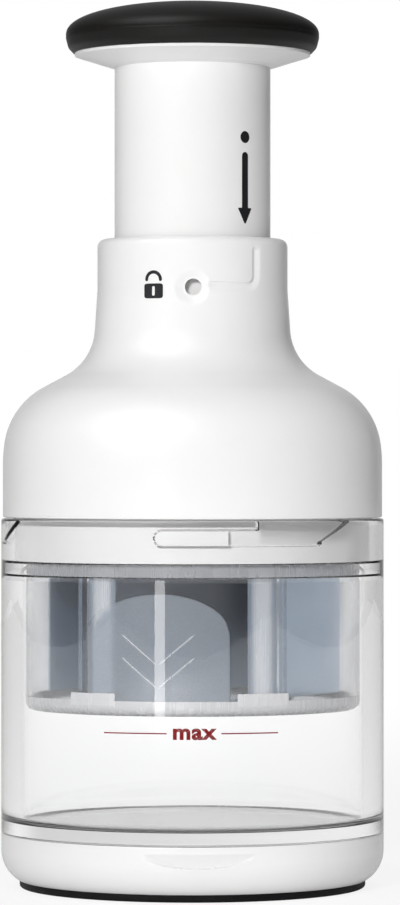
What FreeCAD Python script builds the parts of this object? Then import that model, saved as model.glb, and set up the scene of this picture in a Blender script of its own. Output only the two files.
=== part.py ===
import FreeCAD, Part
import math
import os
import Sketcher

# Press-down food chopper, in millimetres: +Z is up, -Y is the front, and the origin is
# the middle of the foot ring's underside.

DOC = FreeCAD.newDocument("press_chopper")
VECTOR = FreeCAD.Vector
UP = VECTOR(0, 0, 1)
NEAR_ZERO = 1e-6

SIZES = {
    # heights of the outside
    "cover_bottom": 2.0,
    "cover_rim": 14.4,
    "cup_floor": 17.5,
    "cup_step": 81.7,
    "cup_shoulder": 85.1,
    "cup_rim": 96.2,
    "bell_bottom": 96.5,
    "shoulder_start": 110.1,
    "window_height": 155.9,
    "neck_top": 169.1,
    "dish_start": 214.0,
    "knob_seam": 217.9,
    "knob_top": 231.0,
    # radii of the outside
    "cup_radius": 50.0,
    "bell_radius": 49.6,
    "neck_radius": 24.87,
    "tube_radius": 20.4,
    "dish_radius": 30.8,
    "knob_radius": 33.1,
    "foot_radius": 45.2,
    # walls and play
    "cup_bore": 44.5,
    "collar_bore": 46.6,
    "ledge_bore": 45.5,
    "shell_wall": 2.4,
    "slide_play": 0.07,
    "loose_play": 0.35,
    # spigot, deck and blade guard
    "spigot_bottom": 85.3,
    "spigot_radius": 46.3,
    "spigot_bore": 44.3,
    "guard_bottom": 46.8,
    "guard_radius": 43.6,
    "guard_wall": 1.5,
    "guard_floor": 2.6,
    "guard_flange": 98.3,
    "deck_height": 103.0,
    # blade and its drive
    "blade_bottom": 51.0,
    "blade_height": 36.2,
    "blade_thickness": 0.6,
    "fold_radius": 0.9,
    "fold_side": 19.7,
    "fold_reach": 37.3,
    "blade_end": 38.4,
    "spindle_side": 7.0,
    "twist_pitch": 240.0,
    "nut_height": 134.0,
    "web_height": 196.0,
    "spring_radius": 15.6,
    "spring_wire": 1.6,
}

# angles in degrees, counted from the front towards +X where they lie round the axis
BLADE_ANGLE = -3.9
FOLD_ANGLE = 27.84
FRONT_ANGLE = -90.0
BAYONET_ANGLES = (0.0, 120.0, 240.0)


class Size:
    """A length worked out from the sheet: its number, and the expression that gives it."""

    def __init__(self, number, text):
        self.number = number
        self.text = text

    def __add__(self, other):
        return Size(self.number + number_of(other), f"({self.text} + {text_of(other)})")

    def __radd__(self, other):
        return Size(number_of(other) + self.number, f"({text_of(other)} + {self.text})")

    def __sub__(self, other):
        return Size(self.number - number_of(other), f"({self.text} - {text_of(other)})")

    def __rsub__(self, other):
        return Size(number_of(other) - self.number, f"({text_of(other)} - {self.text})")

    def __mul__(self, other):
        return Size(self.number * number_of(other), f"({self.text} * {text_of(other)})")

    def __neg__(self):
        return Size(-self.number, f"(0 - {self.text})")


def number_of(value):
    return value.number if isinstance(value, Size) else float(value)


def text_of(value):
    return value.text if isinstance(value, Size) else f"{value:.6f}"


def make_sheet():
    """Writes the driving dimensions into the sheet and gives each as a Size."""
    sheet = DOC.addObject("Spreadsheet::Sheet", "Sizes")
    for row, (alias, value) in enumerate(SIZES.items(), 1):
        sheet.set(f"A{row}", alias)
        sheet.set(f"B{row}", str(value))
        sheet.setAlias(f"B{row}", alias)
    DOC.recompute()
    return {alias: Size(value, f"Sizes.{alias}") for alias, value in SIZES.items()}


S = make_sheet()
PIECES = {}


def keep(node, item):
    """Files an object as the sub-part of that name."""
    item.Label = node
    PIECES[node] = item


def bind(item, prop, value):
    """Sets a property, and ties it to the sheet where the value comes from there."""
    if isinstance(value, Size):
        item.setExpression(prop, value.text)
    elif "." in prop:
        item.setExpression(prop, text_of(value))
    else:
        setattr(item, prop, value)


def place(item, x=0.0, y=0.0, z=0.0, turn=0.0):
    """Puts an object at x, y, z, turned about +Z."""
    item.Placement = FreeCAD.Placement(VECTOR(0, 0, 0), FreeCAD.Rotation(UP, turn))
    bind(item, "Placement.Base.x", x)
    bind(item, "Placement.Base.y", y)
    bind(item, "Placement.Base.z", z)
    return item


def out_at(angle):
    """The level direction at an angle from the front towards +X."""
    turn = math.radians(angle)
    return VECTOR(math.sin(turn), -math.cos(turn), 0)


def fix_corner(sketch, geometry, position, corner):
    """Ties one end of a sketch edge to its two coordinates."""
    for kind, axis, value in (("DistanceX", -2, corner[0]), ("DistanceY", -1, corner[1])):
        number = number_of(value)
        if abs(number) < NEAR_ZERO:
            sketch.addConstraint(Sketcher.Constraint("PointOnObject", geometry, position, axis))
            continue
        index = sketch.addConstraint(
            Sketcher.Constraint(kind, -1, 1, geometry, position, number))
        if isinstance(value, Size):
            sketch.setExpression(f"Constraints[{index}]", value.text)


def arc_between(start, end, radius):
    """The short arc from start to end: a positive radius has its centre left of the way."""
    chord = end - start
    half = chord.Length / 2
    rise = math.sqrt(max(radius * radius - half * half, 0.0))
    left = VECTOR(-chord.y, chord.x, 0).normalize()
    centre = (start + end) / 2 + left * math.copysign(rise, radius)
    first, last = (start, end) if radius > 0 else (end, start)
    angles = [math.atan2(point.y - centre.y, point.x - centre.x) for point in (first, last)]
    return Part.ArcOfCircle(Part.Circle(centre, UP, abs(radius)), angles[0], angles[1])


def draw_outline(sketch, corners):
    """A closed outline: each corner is x, y and, where an arc leads on, the arc's radius.

    The word dome in place of a radius makes an arc about a point lower on the axis.
    """
    points = [VECTOR(number_of(corner[0]), number_of(corner[1]), 0) for corner in corners]
    ends = []
    for index, corner in enumerate(corners):
        start = points[index]
        end = points[(index + 1) % len(points)]
        if len(corner) == 2:
            ends.append((sketch.addGeometry(Part.LineSegment(start, end), False), 1, 2))
            continue
        if corner[2] == "dome":
            reach, rise = (end - start).x, (end - start).y
            radius = (reach * reach + rise * rise) / (2 * math.copysign(rise, -reach))
        else:
            radius = number_of(corner[2])
        geometry = sketch.addGeometry(arc_between(start, end, radius), False)
        if corner[2] == "dome":
            sketch.addConstraint(Sketcher.Constraint("PointOnObject", geometry, 3, -2))
        else:
            rule = sketch.addConstraint(Sketcher.Constraint("Radius", geometry, abs(radius)))
        if isinstance(corner[2], Size):
            length = corner[2] if radius > 0 else -corner[2]
            sketch.setExpression(f"Constraints[{rule}]", length.text)
        ends.append((geometry, 1, 2) if radius > 0 else (geometry, 2, 1))
    for index, corner in enumerate(corners):
        before = ends[index - 1]
        after = ends[index]
        sketch.addConstraint(
            Sketcher.Constraint("Coincident", before[0], before[2], after[0], after[1]))
        fix_corner(sketch, after[0], after[1], corner)


def new_sketch(body, name, plane, corners):
    """A sketch on one of the body's own origin planes."""
    sketch = body.newObject("Sketcher::SketchObject", name)
    support = [item for item in body.Origin.OriginFeatures if item.Role == plane][0]
    sketch.AttachmentSupport = [(support, "")]
    sketch.MapMode = "FlatFace"
    draw_outline(sketch, corners)
    return sketch


def turned(name, corners):
    """A body turned about +Z: the corners are radius and height."""
    body = DOC.addObject("PartDesign::Body", name)
    sketch = new_sketch(body, f"{name}_profile", "XZ_Plane", corners)
    turn = body.newObject("PartDesign::Revolution", f"{name}_turn")
    turn.Profile = sketch
    turn.ReferenceAxis = (sketch, ["V_Axis"])
    turn.Angle = 360
    return body


def padded(name, corners, bottom, height, turn=0.0):
    """An upright body: the corners are x and y."""
    body = DOC.addObject("PartDesign::Body", name)
    sketch = new_sketch(body, f"{name}_outline", "XY_Plane", corners)
    pad = body.newObject("PartDesign::Pad", f"{name}_pad")
    pad.Profile = sketch
    bind(pad, "Length", height)
    return place(body, z=bottom, turn=turn)


def ring_outline(inner, outer, bottom, top):
    return [(inner, bottom), (outer, bottom), (outer, top), (inner, top)]


def cylinder(name, radius, height, x=0.0, y=0.0, z=0.0):
    item = DOC.addObject("Part::Cylinder", name)
    bind(item, "Radius", radius)
    bind(item, "Height", height)
    return place(item, x, y, z)


def sector(name, radius, height, z, start, sweep):
    """A slice of a cylinder between two angles round the axis."""
    item = DOC.addObject("Part::Cylinder", name)
    bind(item, "Radius", radius)
    bind(item, "Height", height)
    item.Angle = sweep
    return place(item, z=z, turn=FRONT_ANGLE + start)


def drill(name, radius, length, height, angle, start_radius):
    """A level cylinder that runs inwards from a radius at an angle round the axis."""
    item = DOC.addObject("Part::Cylinder", name)
    bind(item, "Radius", radius)
    bind(item, "Height", length)
    out = out_at(angle)
    item.Placement = FreeCAD.Placement(out * start_radius, FreeCAD.Rotation(UP, -out))
    bind(item, "Placement.Base.z", height)
    return item


def block(name, width, depth, height, radius, z, angle):
    """A block whose outer face lies at a radius, facing an angle round the axis."""
    item = DOC.addObject("Part::Box", name)
    bind(item, "Length", width)
    bind(item, "Width", depth)
    bind(item, "Height", height)
    out = out_at(angle)
    across = VECTOR(-out.y, out.x, 0)
    x = radius * out.x - across.x * (width / 2)
    y = radius * out.y - across.y * (width / 2)
    return place(item, x, y, z, angle)


def fuse(name, items):
    result = DOC.addObject("Part::MultiFuse", name)
    result.Shapes = items
    return result


def cut(name, base, tools):
    """The base less its tools."""
    result = DOC.addObject("Part::Cut", name)
    result.Base = base
    result.Tool = tools[0] if len(tools) == 1 else fuse(f"{name}_tools", tools)
    return result


def common(name, first, second):
    result = DOC.addObject("Part::Common", name)
    result.Base = first
    result.Tool = second
    return result


def group(name, items):
    """Several separate solids of one kind, kept as one sub-part."""
    result = DOC.addObject("Part::Compound", name)
    result.Links = items
    return result


def screw(name, x, y, seat, shank, length, head, head_height, facing_up=False):
    """A pan-head screw with a cross slot: the head lies under the seat unless facing up."""
    rod = cylinder(f"{name}_shank", shank, length + 0.2, z=-0.2)
    cap = cylinder(f"{name}_head", head, head_height, z=-head_height)
    slot_depth = head_height * 0.6
    slots = []
    for index, (across, along) in enumerate(((0.8, head * 1.3), (head * 1.3, 0.8))):
        slot = DOC.addObject("Part::Box", f"{name}_slot_{index}")
        slot.Length = across
        slot.Width = along
        slot.Height = slot_depth
        slots.append(place(slot, -across / 2, -along / 2, -head_height))
    whole = cut(f"{name}_whole", fuse(f"{name}_blank", [rod, cap]), slots)
    flip = FreeCAD.Rotation(VECTOR(1, 0, 0), 180 if facing_up else 0)
    whole.Placement = FreeCAD.Placement(VECTOR(0, 0, 0), flip)
    bind(whole, "Placement.Base.x", x)
    bind(whole, "Placement.Base.y", y)
    bind(whole, "Placement.Base.z", seat)
    return whole


def zigzag():
    """The blade's corners in its own frame: three panels run across and two lie outside."""
    side = S["fold_side"]
    reach = S["fold_reach"]
    end = S["blade_end"]
    return [(-end, 0.0), (-side, reach), (-side, -reach), (side, reach), (side, -reach), (end, 0.0)]


def strip_outline(corners, half_width, end_play):
    """The outline of a strip along the zigzag, with a round fold at each corner."""
    points = [VECTOR(number_of(x), number_of(y), 0) for x, y in corners]
    ways = [(points[i + 1] - points[i]).normalize() for i in range(len(points) - 1)]
    fold = S["fold_radius"]

    def shifted(index, along, side, way):
        """A corner moved along a panel and square to it."""
        x, y = corners[index]
        return (x + along * way.x - side * way.y, y + along * way.y + side * way.x)

    def flank(side):
        """One side of the strip, first end to last: side is +1 on the left."""
        offset = half_width * side
        row = [shifted(0, end_play * -1.0, offset, ways[0])]
        for index in range(1, len(points) - 1):
            before = ways[index - 1]
            after = ways[index]
            bend = math.atan2(before.x * after.y - before.y * after.x, before.dot(after))
            back = math.tan(abs(bend) / 2)
            inside = bend * side > 0
            if inside and half_width.number > fold.number:
                row.append(shifted(index, half_width * -back, offset, before))
                continue
            start = shifted(index, fold * -back, offset, before)
            fold_edge = fold - half_width if inside else fold + half_width
            radius = fold_edge * math.copysign(1.0, bend)
            row.append(start + (radius,))
            row.append(shifted(index, fold * back, offset, after))
        row.append(shifted(len(points) - 1, end_play, offset, ways[-1]))
        return row

    right = flank(-1.0)
    left = flank(1.0)
    back_row = []
    for index in range(len(left) - 1, -1, -1):
        arc = left[index - 1][2:] if index else ()
        back_row.append(left[index][:2] + tuple(-radius for radius in arc))
    return right + back_row


def strip(name, half_width, bottom, height, end_play):
    """An upright strip along the zigzag."""
    outline = strip_outline(zigzag(), half_width, end_play)
    return padded(name, outline, bottom, height, BLADE_ANGLE)


def twisted_bar(name, side, bottom, top):
    """A square bar about the axis, which turns left as it rises, once in a pitch."""
    step = 10.0
    count = max(2, math.ceil((top - bottom) / step))
    half = side / 2
    rings = []
    for index in range(count + 1):
        height = bottom + (top - bottom) * index / count
        turn = -2 * math.pi * (height - SIZES["nut_height"]) / SIZES["twist_pitch"]
        ring = []
        for across, along in ((-half, -half), (half, -half), (half, half), (-half, half)):
            ring.append(VECTOR(across * math.cos(turn) - along * math.sin(turn),
                               across * math.sin(turn) + along * math.cos(turn), height))
        rings.append(Part.makePolygon(ring + ring[:1]))
    item = DOC.addObject("Part::Feature", name)
    item.Shape = Part.makeLoft(rings, True, False)
    return item


def make_base():
    """The white cover that snaps under the cup, and the soft ring that it stands on."""
    bottom = S["cover_bottom"]
    rim = S["cover_rim"]
    radius = S["cup_radius"]
    foot = S["foot_radius"]
    inner = radius - 2.7
    floor = bottom + 3.4
    groove = bottom + 1.6
    cover = turned("cover_shell", [
        (0.0, floor),
        (0.0, bottom + 0.6),
        (39.6, bottom + 0.6),
        (39.6, groove),
        (43.4, groove),
        (43.4, bottom),
        (foot + 0.3, bottom, 9.0),
        (radius, bottom + 7.6),
        (radius, rim),
        (inner, rim),
        (inner, floor),
    ])
    notch = DOC.addObject("Part::Ellipsoid", "thumb_notch")
    notch.Radius1 = 3.8
    notch.Radius2 = 14.4
    notch.Radius3 = 9.0
    notch.Angle1 = -90
    notch.Angle2 = 0
    place(notch, 1.6, -radius + 0.35, rim - 1.8)
    behind = DOC.addObject("Part::Cone", "notch_back")
    behind.Height = 4.4
    bind(behind, "Radius1", radius - 1.94)
    bind(behind, "Radius2", radius + 0.09)
    place(behind, z=rim - 6.0)
    keep("base_cover", cut("cover_with_notch", cover, [cut("notch_pocket", notch, [behind])]))
    keep("foot_ring", turned("foot_ring_body", [
        (37.5, 0.0),
        (foot - 0.8, 0.0),
        (foot, 0.8),
        (foot, bottom),
        (43.2, bottom),
        (43.2, groove),
        (39.8, groove),
        (39.8, bottom + 0.6),
        (37.5, bottom + 0.6),
    ]))


def make_cup():
    """The clear cup: a heavy wall, two steps up to the collar and its tracks, a snap skirt."""
    radius = S["cup_radius"]
    bore = S["cup_bore"]
    floor = S["cup_floor"]
    rim = S["cup_rim"]
    seam = S["cover_rim"]
    skirt = seam - 7.0
    body = turned("cup_body", [
        (0.0, seam + 0.3),
        (43.4, seam + 0.3),
        (43.4, skirt),
        (46.9, skirt),
        (46.9, seam),
        (radius, seam),
        (radius, rim - 0.6, 0.6),
        (radius - 0.6, rim),
        (S["collar_bore"], rim),
        (S["collar_bore"], S["cup_shoulder"]),
        (S["ledge_bore"], S["cup_shoulder"]),
        (S["ledge_bore"], S["cup_step"]),
        (bore, S["cup_step"]),
        (bore, floor + 2.0, -2.0),
        (bore - 2.0, floor),
        (0.0, floor),
    ])
    depth = radius - 1.1
    tools = []
    for index, around in enumerate(BAYONET_ANGLES):
        seat = sector(f"track_seat_{index}", depth, 4.5, rim - 6.6, around - 11.9, 54.0)
        mouth = sector(f"track_mouth_{index}", depth, 8.0, rim - 5.2, around + 19.6, 36.7)
        ramp = DOC.addObject("Part::Box", f"track_ramp_{index}")
        ramp.Length = 30.0
        ramp.Width = 12.0
        ramp.Height = 14.0
        middle = out_at(around + 49.1) * 53.0 + VECTOR(0, 0, SIZES["cup_rim"] - 2.7)
        facing = FreeCAD.Rotation(UP, around + 49.1)
        slope = FreeCAD.Rotation(VECTOR(0, 1, 0), -24.6)
        shift = FreeCAD.Placement(VECTOR(-15.0, 0.0, -14.0), FreeCAD.Rotation())
        ramp.Placement = FreeCAD.Placement(middle, facing.multiply(slope)).multiply(shift)
        tools.append(seat)
        tools.append(cut(f"track_entry_{index}", mouth, [ramp]))
    keep("cup", cut("cup_with_tracks", body, tools))


def make_housing():
    """The white bell and neck, with four screw bosses and the small round window."""
    wall = S["shell_wall"]
    bell = S["bell_radius"]
    neck = S["neck_radius"]
    start = S["shoulder_start"]
    top = S["neck_top"]
    bore = S["tube_radius"] + 0.45
    seat = neck - 2.4
    upper_round = 42.5
    crown_round = 19.7
    waist_round = 14.4
    upper = (bell - 0.36, start + 5.54)
    crown = (bell - 10.55, start + 20.29)
    waist = (bell - 16.45, start + 23.46)
    flare = (neck + 0.71, start + 35.2)
    upper_in = (upper[0] - wall * 0.991, upper[1] - wall * 0.131)
    crown_in = (crown[0] - wall * 0.474, crown[1] - wall * 0.881)
    waist_in = (waist[0] - wall * 0.474, waist[1] - wall * 0.881)
    flare_in = (flare[0] - wall, flare[1] - wall * 0.067)
    body = turned("housing_body", [
        (bell, S["bell_bottom"]),
        (bell, start, upper_round),
        upper + (crown_round,),
        crown,
        waist + (-waist_round,),
        flare,
        (neck, start + 45.9),
        (neck, top - 2.0, 2.0),
        (neck - 2.0, top),
        (bore, top),
        (bore, top - 3.1),
        (seat, top - 3.1),
        (seat, start + 45.9),
        flare_in + (wall + waist_round,),
        waist_in,
        crown_in + (wall - crown_round,),
        upper_in + (wall - upper_round,),
        (bell - wall, start),
        (bell - wall, S["bell_bottom"]),
    ])
    deck_top = S["deck_height"] + 3.0
    bosses = []
    pilots = []
    for index in range(4):
        out = out_at(45.0 + 90.0 * index) * 38.0
        bosses.append(cylinder(f"boss_{index}", 3.6, start + 17.6 - deck_top, out.x, out.y, deck_top))
        pilots.append(cylinder(f"boss_pilot_{index}", 1.5, 12.5, out.x, out.y, deck_top))
    window = drill("window_hole", 2.125, 6.0, S["window_height"], 0.0, 27.0)
    dimple = DOC.addObject("Part::Cone", "window_dimple")
    dimple.Radius1 = 6.2
    dimple.Radius2 = 2.125
    dimple.Height = 1.0
    dimple.Placement = FreeCAD.Placement(out_at(0.0) * 25.3, FreeCAD.Rotation(UP, -out_at(0.0)))
    bind(dimple, "Placement.Base.z", S["window_height"])
    blank = fuse("housing_blank", [body] + bosses)
    keep("housing_shell", cut("housing_with_holes", blank, pilots + [window, dimple]))
    sleeve = turned("guide_sleeve_body", ring_outline(
        S["tube_radius"] + S["slide_play"], seat - 0.03, top - 22.7, top - 3.1))
    sight = drill("sleeve_sight_hole", 3.2, 8.0, S["window_height"], 0.0, 27.0)
    keep("guide_sleeve", cut("sleeve_with_hole", sleeve, [sight]))


def make_spigot():
    """The white ring under the bell that drops into the cup's collar, with its three lugs."""
    outer = S["spigot_radius"]
    bore = S["spigot_bore"]
    ledge = S["guard_flange"] - 0.3
    bell = S["bell_bottom"]
    deck = S["deck_height"]
    root = S["bell_radius"] - S["shell_wall"] - 0.05
    ring = turned("spigot_body", [
        (bore, S["spigot_bottom"] + 0.6),
        (bore + 0.6, S["spigot_bottom"]),
        (outer, S["spigot_bottom"]),
        (outer, bell),
        (root, bell),
        (root, deck),
        (bore + 1.6, deck),
        (bore + 1.6, ledge),
        (bore, ledge),
    ])
    lugs = []
    for index, around in enumerate(BAYONET_ANGLES):
        slice_out = sector(f"lug_{index}", outer + 2.2, 3.8, S["cup_rim"] - 6.25, around - 10.7, 21.4)
        lugs.append(cut(f"lug_ring_{index}", slice_out,
                        [cylinder(f"lug_bore_{index}", outer - 1.0, 10.0, z=S["cup_rim"] - 9.0)]))
    keep("spigot_ring", fuse("spigot_with_lugs", [ring] + lugs))


def make_deck():
    """The plate that closes the bell, with the post that carries the drive nut."""
    deck = S["deck_height"]
    nut = S["nut_height"]
    outer = S["bell_radius"] - S["shell_wall"] - 0.05
    plate = turned("deck_body", [
        (5.9, deck),
        (S["spigot_bore"] - 0.9, deck),
        (S["spigot_bore"] - 0.9, S["guard_flange"] + 1.7),
        (S["spigot_bore"] + 1.5, S["guard_flange"] + 1.7),
        (S["spigot_bore"] + 1.5, deck),
        (outer, deck),
        (outer, deck + 3.0),
        (17.2, deck + 3.0),
        (17.2, deck + 4.6),
        (9.0, deck + 4.6),
        (8.4, nut - 4.0),
        (13.0, nut - 2.0),
        (13.0, nut + 7.4),
        (11.2, nut + 7.4),
        (11.2, nut),
        (5.9, nut),
    ])
    holes = []
    screws = []
    for index in range(4):
        out = out_at(45.0 + 90.0 * index) * 38.0
        holes.append(cylinder(f"deck_hole_{index}", 1.9, 6.0, out.x, out.y, deck - 1.0))
        screws.append(screw(f"deck_screw_{index}", out.x, out.y, deck, 1.5, 14.0, 2.9, 2.2))
    keep("deck_plate", cut("deck_with_holes", plate, holes))
    keep("deck_screws", group("deck_screw_set", screws))


def make_drive():
    """The ratchet nut, its pawl ring and the cap that holds both on the post."""
    nut = S["nut_height"]
    teeth = 12
    tooth_root = 8.0
    tooth_tip = 8.9
    outline = []
    for index in range(teeth):
        start = 2 * math.pi * index / teeth
        after = 2 * math.pi * (index + 1) / teeth
        outline.append((tooth_tip * math.cos(start), tooth_tip * math.sin(start)))
        outline.append((tooth_root * math.cos(after - 0.02), tooth_root * math.sin(after - 0.02)))
    wheel = padded("nut_wheel", outline, nut + 0.3, 5.4)
    collar = cylinder("nut_collar", 7.6, 2.2, z=nut + 5.0)
    hole = twisted_bar("nut_hole", SIZES["spindle_side"] + 2 * SIZES["loose_play"],
                       SIZES["nut_height"] - 1.0, SIZES["nut_height"] + 9.0)
    keep("drive_nut", cut("nut_with_hole", fuse("nut_blank", [wheel, collar]), [hole]))
    ring = turned("pawl_ring_body", ring_outline(9.9, 11.15, nut, nut + 5.8))
    pawls = []
    for index in range(3):
        pawls.append(block(f"pawl_{index}", 3.2, 0.85, 4.6, 10.1, nut + 0.6, 15.0 + 120.0 * index))
    keep("pawl_ring", fuse("pawl_ring_whole", [ring] + pawls))
    keep("nut_cap", turned("nut_cap_body", [
        (8.0, nut + 5.9),
        (11.1, nut + 5.9),
        (11.1, nut + 7.4),
        (13.0, nut + 7.4),
        (13.0, nut + 9.0),
        (6.2, nut + 9.0),
        (6.2, nut + 7.6),
        (8.0, nut + 7.6),
    ]))


def helix_point(radius, bottom, height, turns, dead, fraction):
    """A point on the spring's centre line: the end turns lie close and the rest are even."""
    wire = SIZES["spring_wire"]
    close = (wire + 0.5) * dead
    along = fraction * turns
    active = (height - 2 * close) / (turns - 2 * dead)
    if along < dead:
        rise = (wire + 0.5) * along
    elif along > turns - dead:
        rise = height - (wire + 0.5) * (turns - along)
    else:
        rise = close + active * (along - dead)
    turn = 2 * math.pi * along
    return VECTOR(radius * math.cos(turn), radius * math.sin(turn), bottom + rise)


def tangent_arc(start, way, end):
    """The arc that leaves start along way and reaches end."""
    chord = end - start
    along = VECTOR(chord).normalize()
    across = way - along * way.dot(along)
    lean = math.atan2(across.Length, way.dot(along))
    middle = (start + end) / 2 + across.normalize() * (chord.Length / 2 * math.tan(lean / 2))
    return Part.Arc(start, middle, end)


def biarc(start, start_way, end, end_way):
    """Two tangent arcs of equal reach between two points with given directions."""
    chord = end - start
    both = start_way + end_way
    square = both.dot(both) - 4.0
    middle_term = chord.dot(both)
    length = chord.dot(chord)
    if abs(square) < NEAR_ZERO:
        reach = length / (4 * chord.dot(end_way))
    else:
        reach = (middle_term - math.sqrt(middle_term ** 2 - square * length)) / square
    joint = (start + start_way * reach + end - end_way * reach) / 2
    joint_way = (end - end_way * reach) - (start + start_way * reach)
    joint_way.normalize()
    return [tangent_arc(start, start_way, joint), tangent_arc(joint, joint_way, end)]


def make_spring():
    """The return spring between the deck and the plunger's web, one unbroken wire."""
    wire = SIZES["spring_wire"]
    radius = SIZES["spring_radius"]
    bottom = SIZES["deck_height"] + 4.6 + wire / 2 + 0.05
    height = SIZES["web_height"] - wire / 2 - 0.05 - bottom
    turns = 11
    quarters = 4 * turns
    nudge = 1e-4

    def at(fraction):
        return helix_point(radius, bottom, height, turns, 1.0, fraction)

    points = [at(index / quarters) for index in range(quarters + 1)]
    ways = []
    for index in range(quarters + 1):
        fraction = index / quarters
        before = at(max(fraction - nudge, 0.0))
        after = at(min(fraction + nudge, 1.0))
        ways.append((after - before).normalize())
    edges = []
    for index in range(quarters):
        for arc in biarc(points[index], ways[index], points[index + 1], ways[index + 1]):
            edges.append(arc.toShape())
    path = Part.Wire(edges)
    profile = Part.Wire([Part.Circle(points[0], ways[0], wire / 2).toShape()])
    item = DOC.addObject("Part::Feature", "return_spring_wire")
    item.Shape = path.makePipeShell([profile], True, False)
    gap = min((at(step / 400) - at(step / 400 + 1 / turns)).Length
              for step in range(int(400 * (1 - 1 / turns)))) - wire
    print(f"return_spring: length {path.Length:.1f}, least gap to itself {gap:.2f}")
    print(f"return_spring: volume {item.Shape.Volume:.1f}, "
          f"section times length {math.pi * wire ** 2 / 4 * path.Length:.1f}")
    keep("return_spring", item)


def make_plunger():
    """The white tube with its dish, web and stop flange, and the bush in the web."""
    outer = S["tube_radius"]
    web = S["web_height"]
    dish = S["dish_start"]
    seam = S["knob_seam"]
    foot = S["neck_top"] - 27.2
    bore = outer - 2.4
    tube = turned("tube_body", [
        (bore, foot),
        (outer + 1.8, foot),
        (outer + 1.8, foot + 3.8),
        (outer, foot + 3.8),
        (outer, dish),
        (outer + 2.1, dish + 0.5),
        (S["dish_radius"] - 3.3, dish + 2.1),
        (S["dish_radius"], seam - 0.8),
        (S["dish_radius"], seam),
        (bore, seam),
        (bore, web + 3.0),
        (5.6, web + 3.0),
        (5.6, web),
        (bore, web),
    ])
    holes = []
    screws = []
    for index in range(3):
        out = out_at(60.0 + 120.0 * index) * 11.0
        holes.append(cylinder(f"web_hole_{index}", 1.7, 5.0, out.x, out.y, web - 1.0))
        screws.append(screw(f"knob_screw_{index}", out.x, out.y, web, 1.5, 14.0, 2.7, 2.0))
    keep("plunger_tube", cut("tube_with_holes", tube, holes))
    keep("knob_screws", group("knob_screw_set", screws))
    keep("spindle_bush", turned("bush_body", [
        (4.06, web - 1.4),
        (7.0, web - 1.4),
        (7.0, web),
        (5.58, web),
        (5.58, web + 3.4),
        (4.06, web + 3.4),
    ]))


def make_knob():
    """The hard core under the palm and the soft cap that wraps it."""
    seam = S["knob_seam"]
    top = S["knob_top"]
    web = S["web_height"]
    core_radius = S["dish_radius"] - 0.3
    core = turned("core_body", [
        (0.0, top - 5.6),
        (14.0, top - 5.9),
        (core_radius - 3.0, top - 8.0),
        (core_radius - 3.0, seam + 0.1),
        (core_radius, seam + 0.1),
        (core_radius, top - 8.0, 1.6),
        (core_radius - 1.25, top - 6.44),
        (core_radius - 3.5, top - 5.94, "dome"),
        (0.0, top - 2.94),
    ])
    legs = []
    pilots = []
    for index in range(3):
        out = out_at(60.0 + 120.0 * index) * 11.0
        legs.append(cylinder(f"leg_{index}", 3.4, top - 5.2 - web - 3.05, out.x, out.y, web + 3.05))
        pilots.append(cylinder(f"leg_pilot_{index}", 1.5, 12.0, out.x, out.y, web + 3.0))
    keep("knob_core", cut("core_with_pilots", fuse("core_blank", [core] + legs), pilots))
    edge = S["knob_radius"]
    keep("knob_cover", turned("cover_skin", [
        (0.0, top - 2.84, "dome"),
        (core_radius - 3.5, top - 5.84),
        (core_radius - 1.23, top - 6.34, -1.72),
        (core_radius + 0.1, top - 8.0),
        (core_radius + 0.1, seam + 0.1),
        (edge - 1.7, seam - 0.2, 2.2),
        (edge, seam + 2.4),
        (edge, top - 6.7, 3.0),
        (edge - 2.6, top - 4.6, 6.0),
        (28.0, top - 3.55, "dome"),
        (0.0, top),
    ]))


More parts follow.
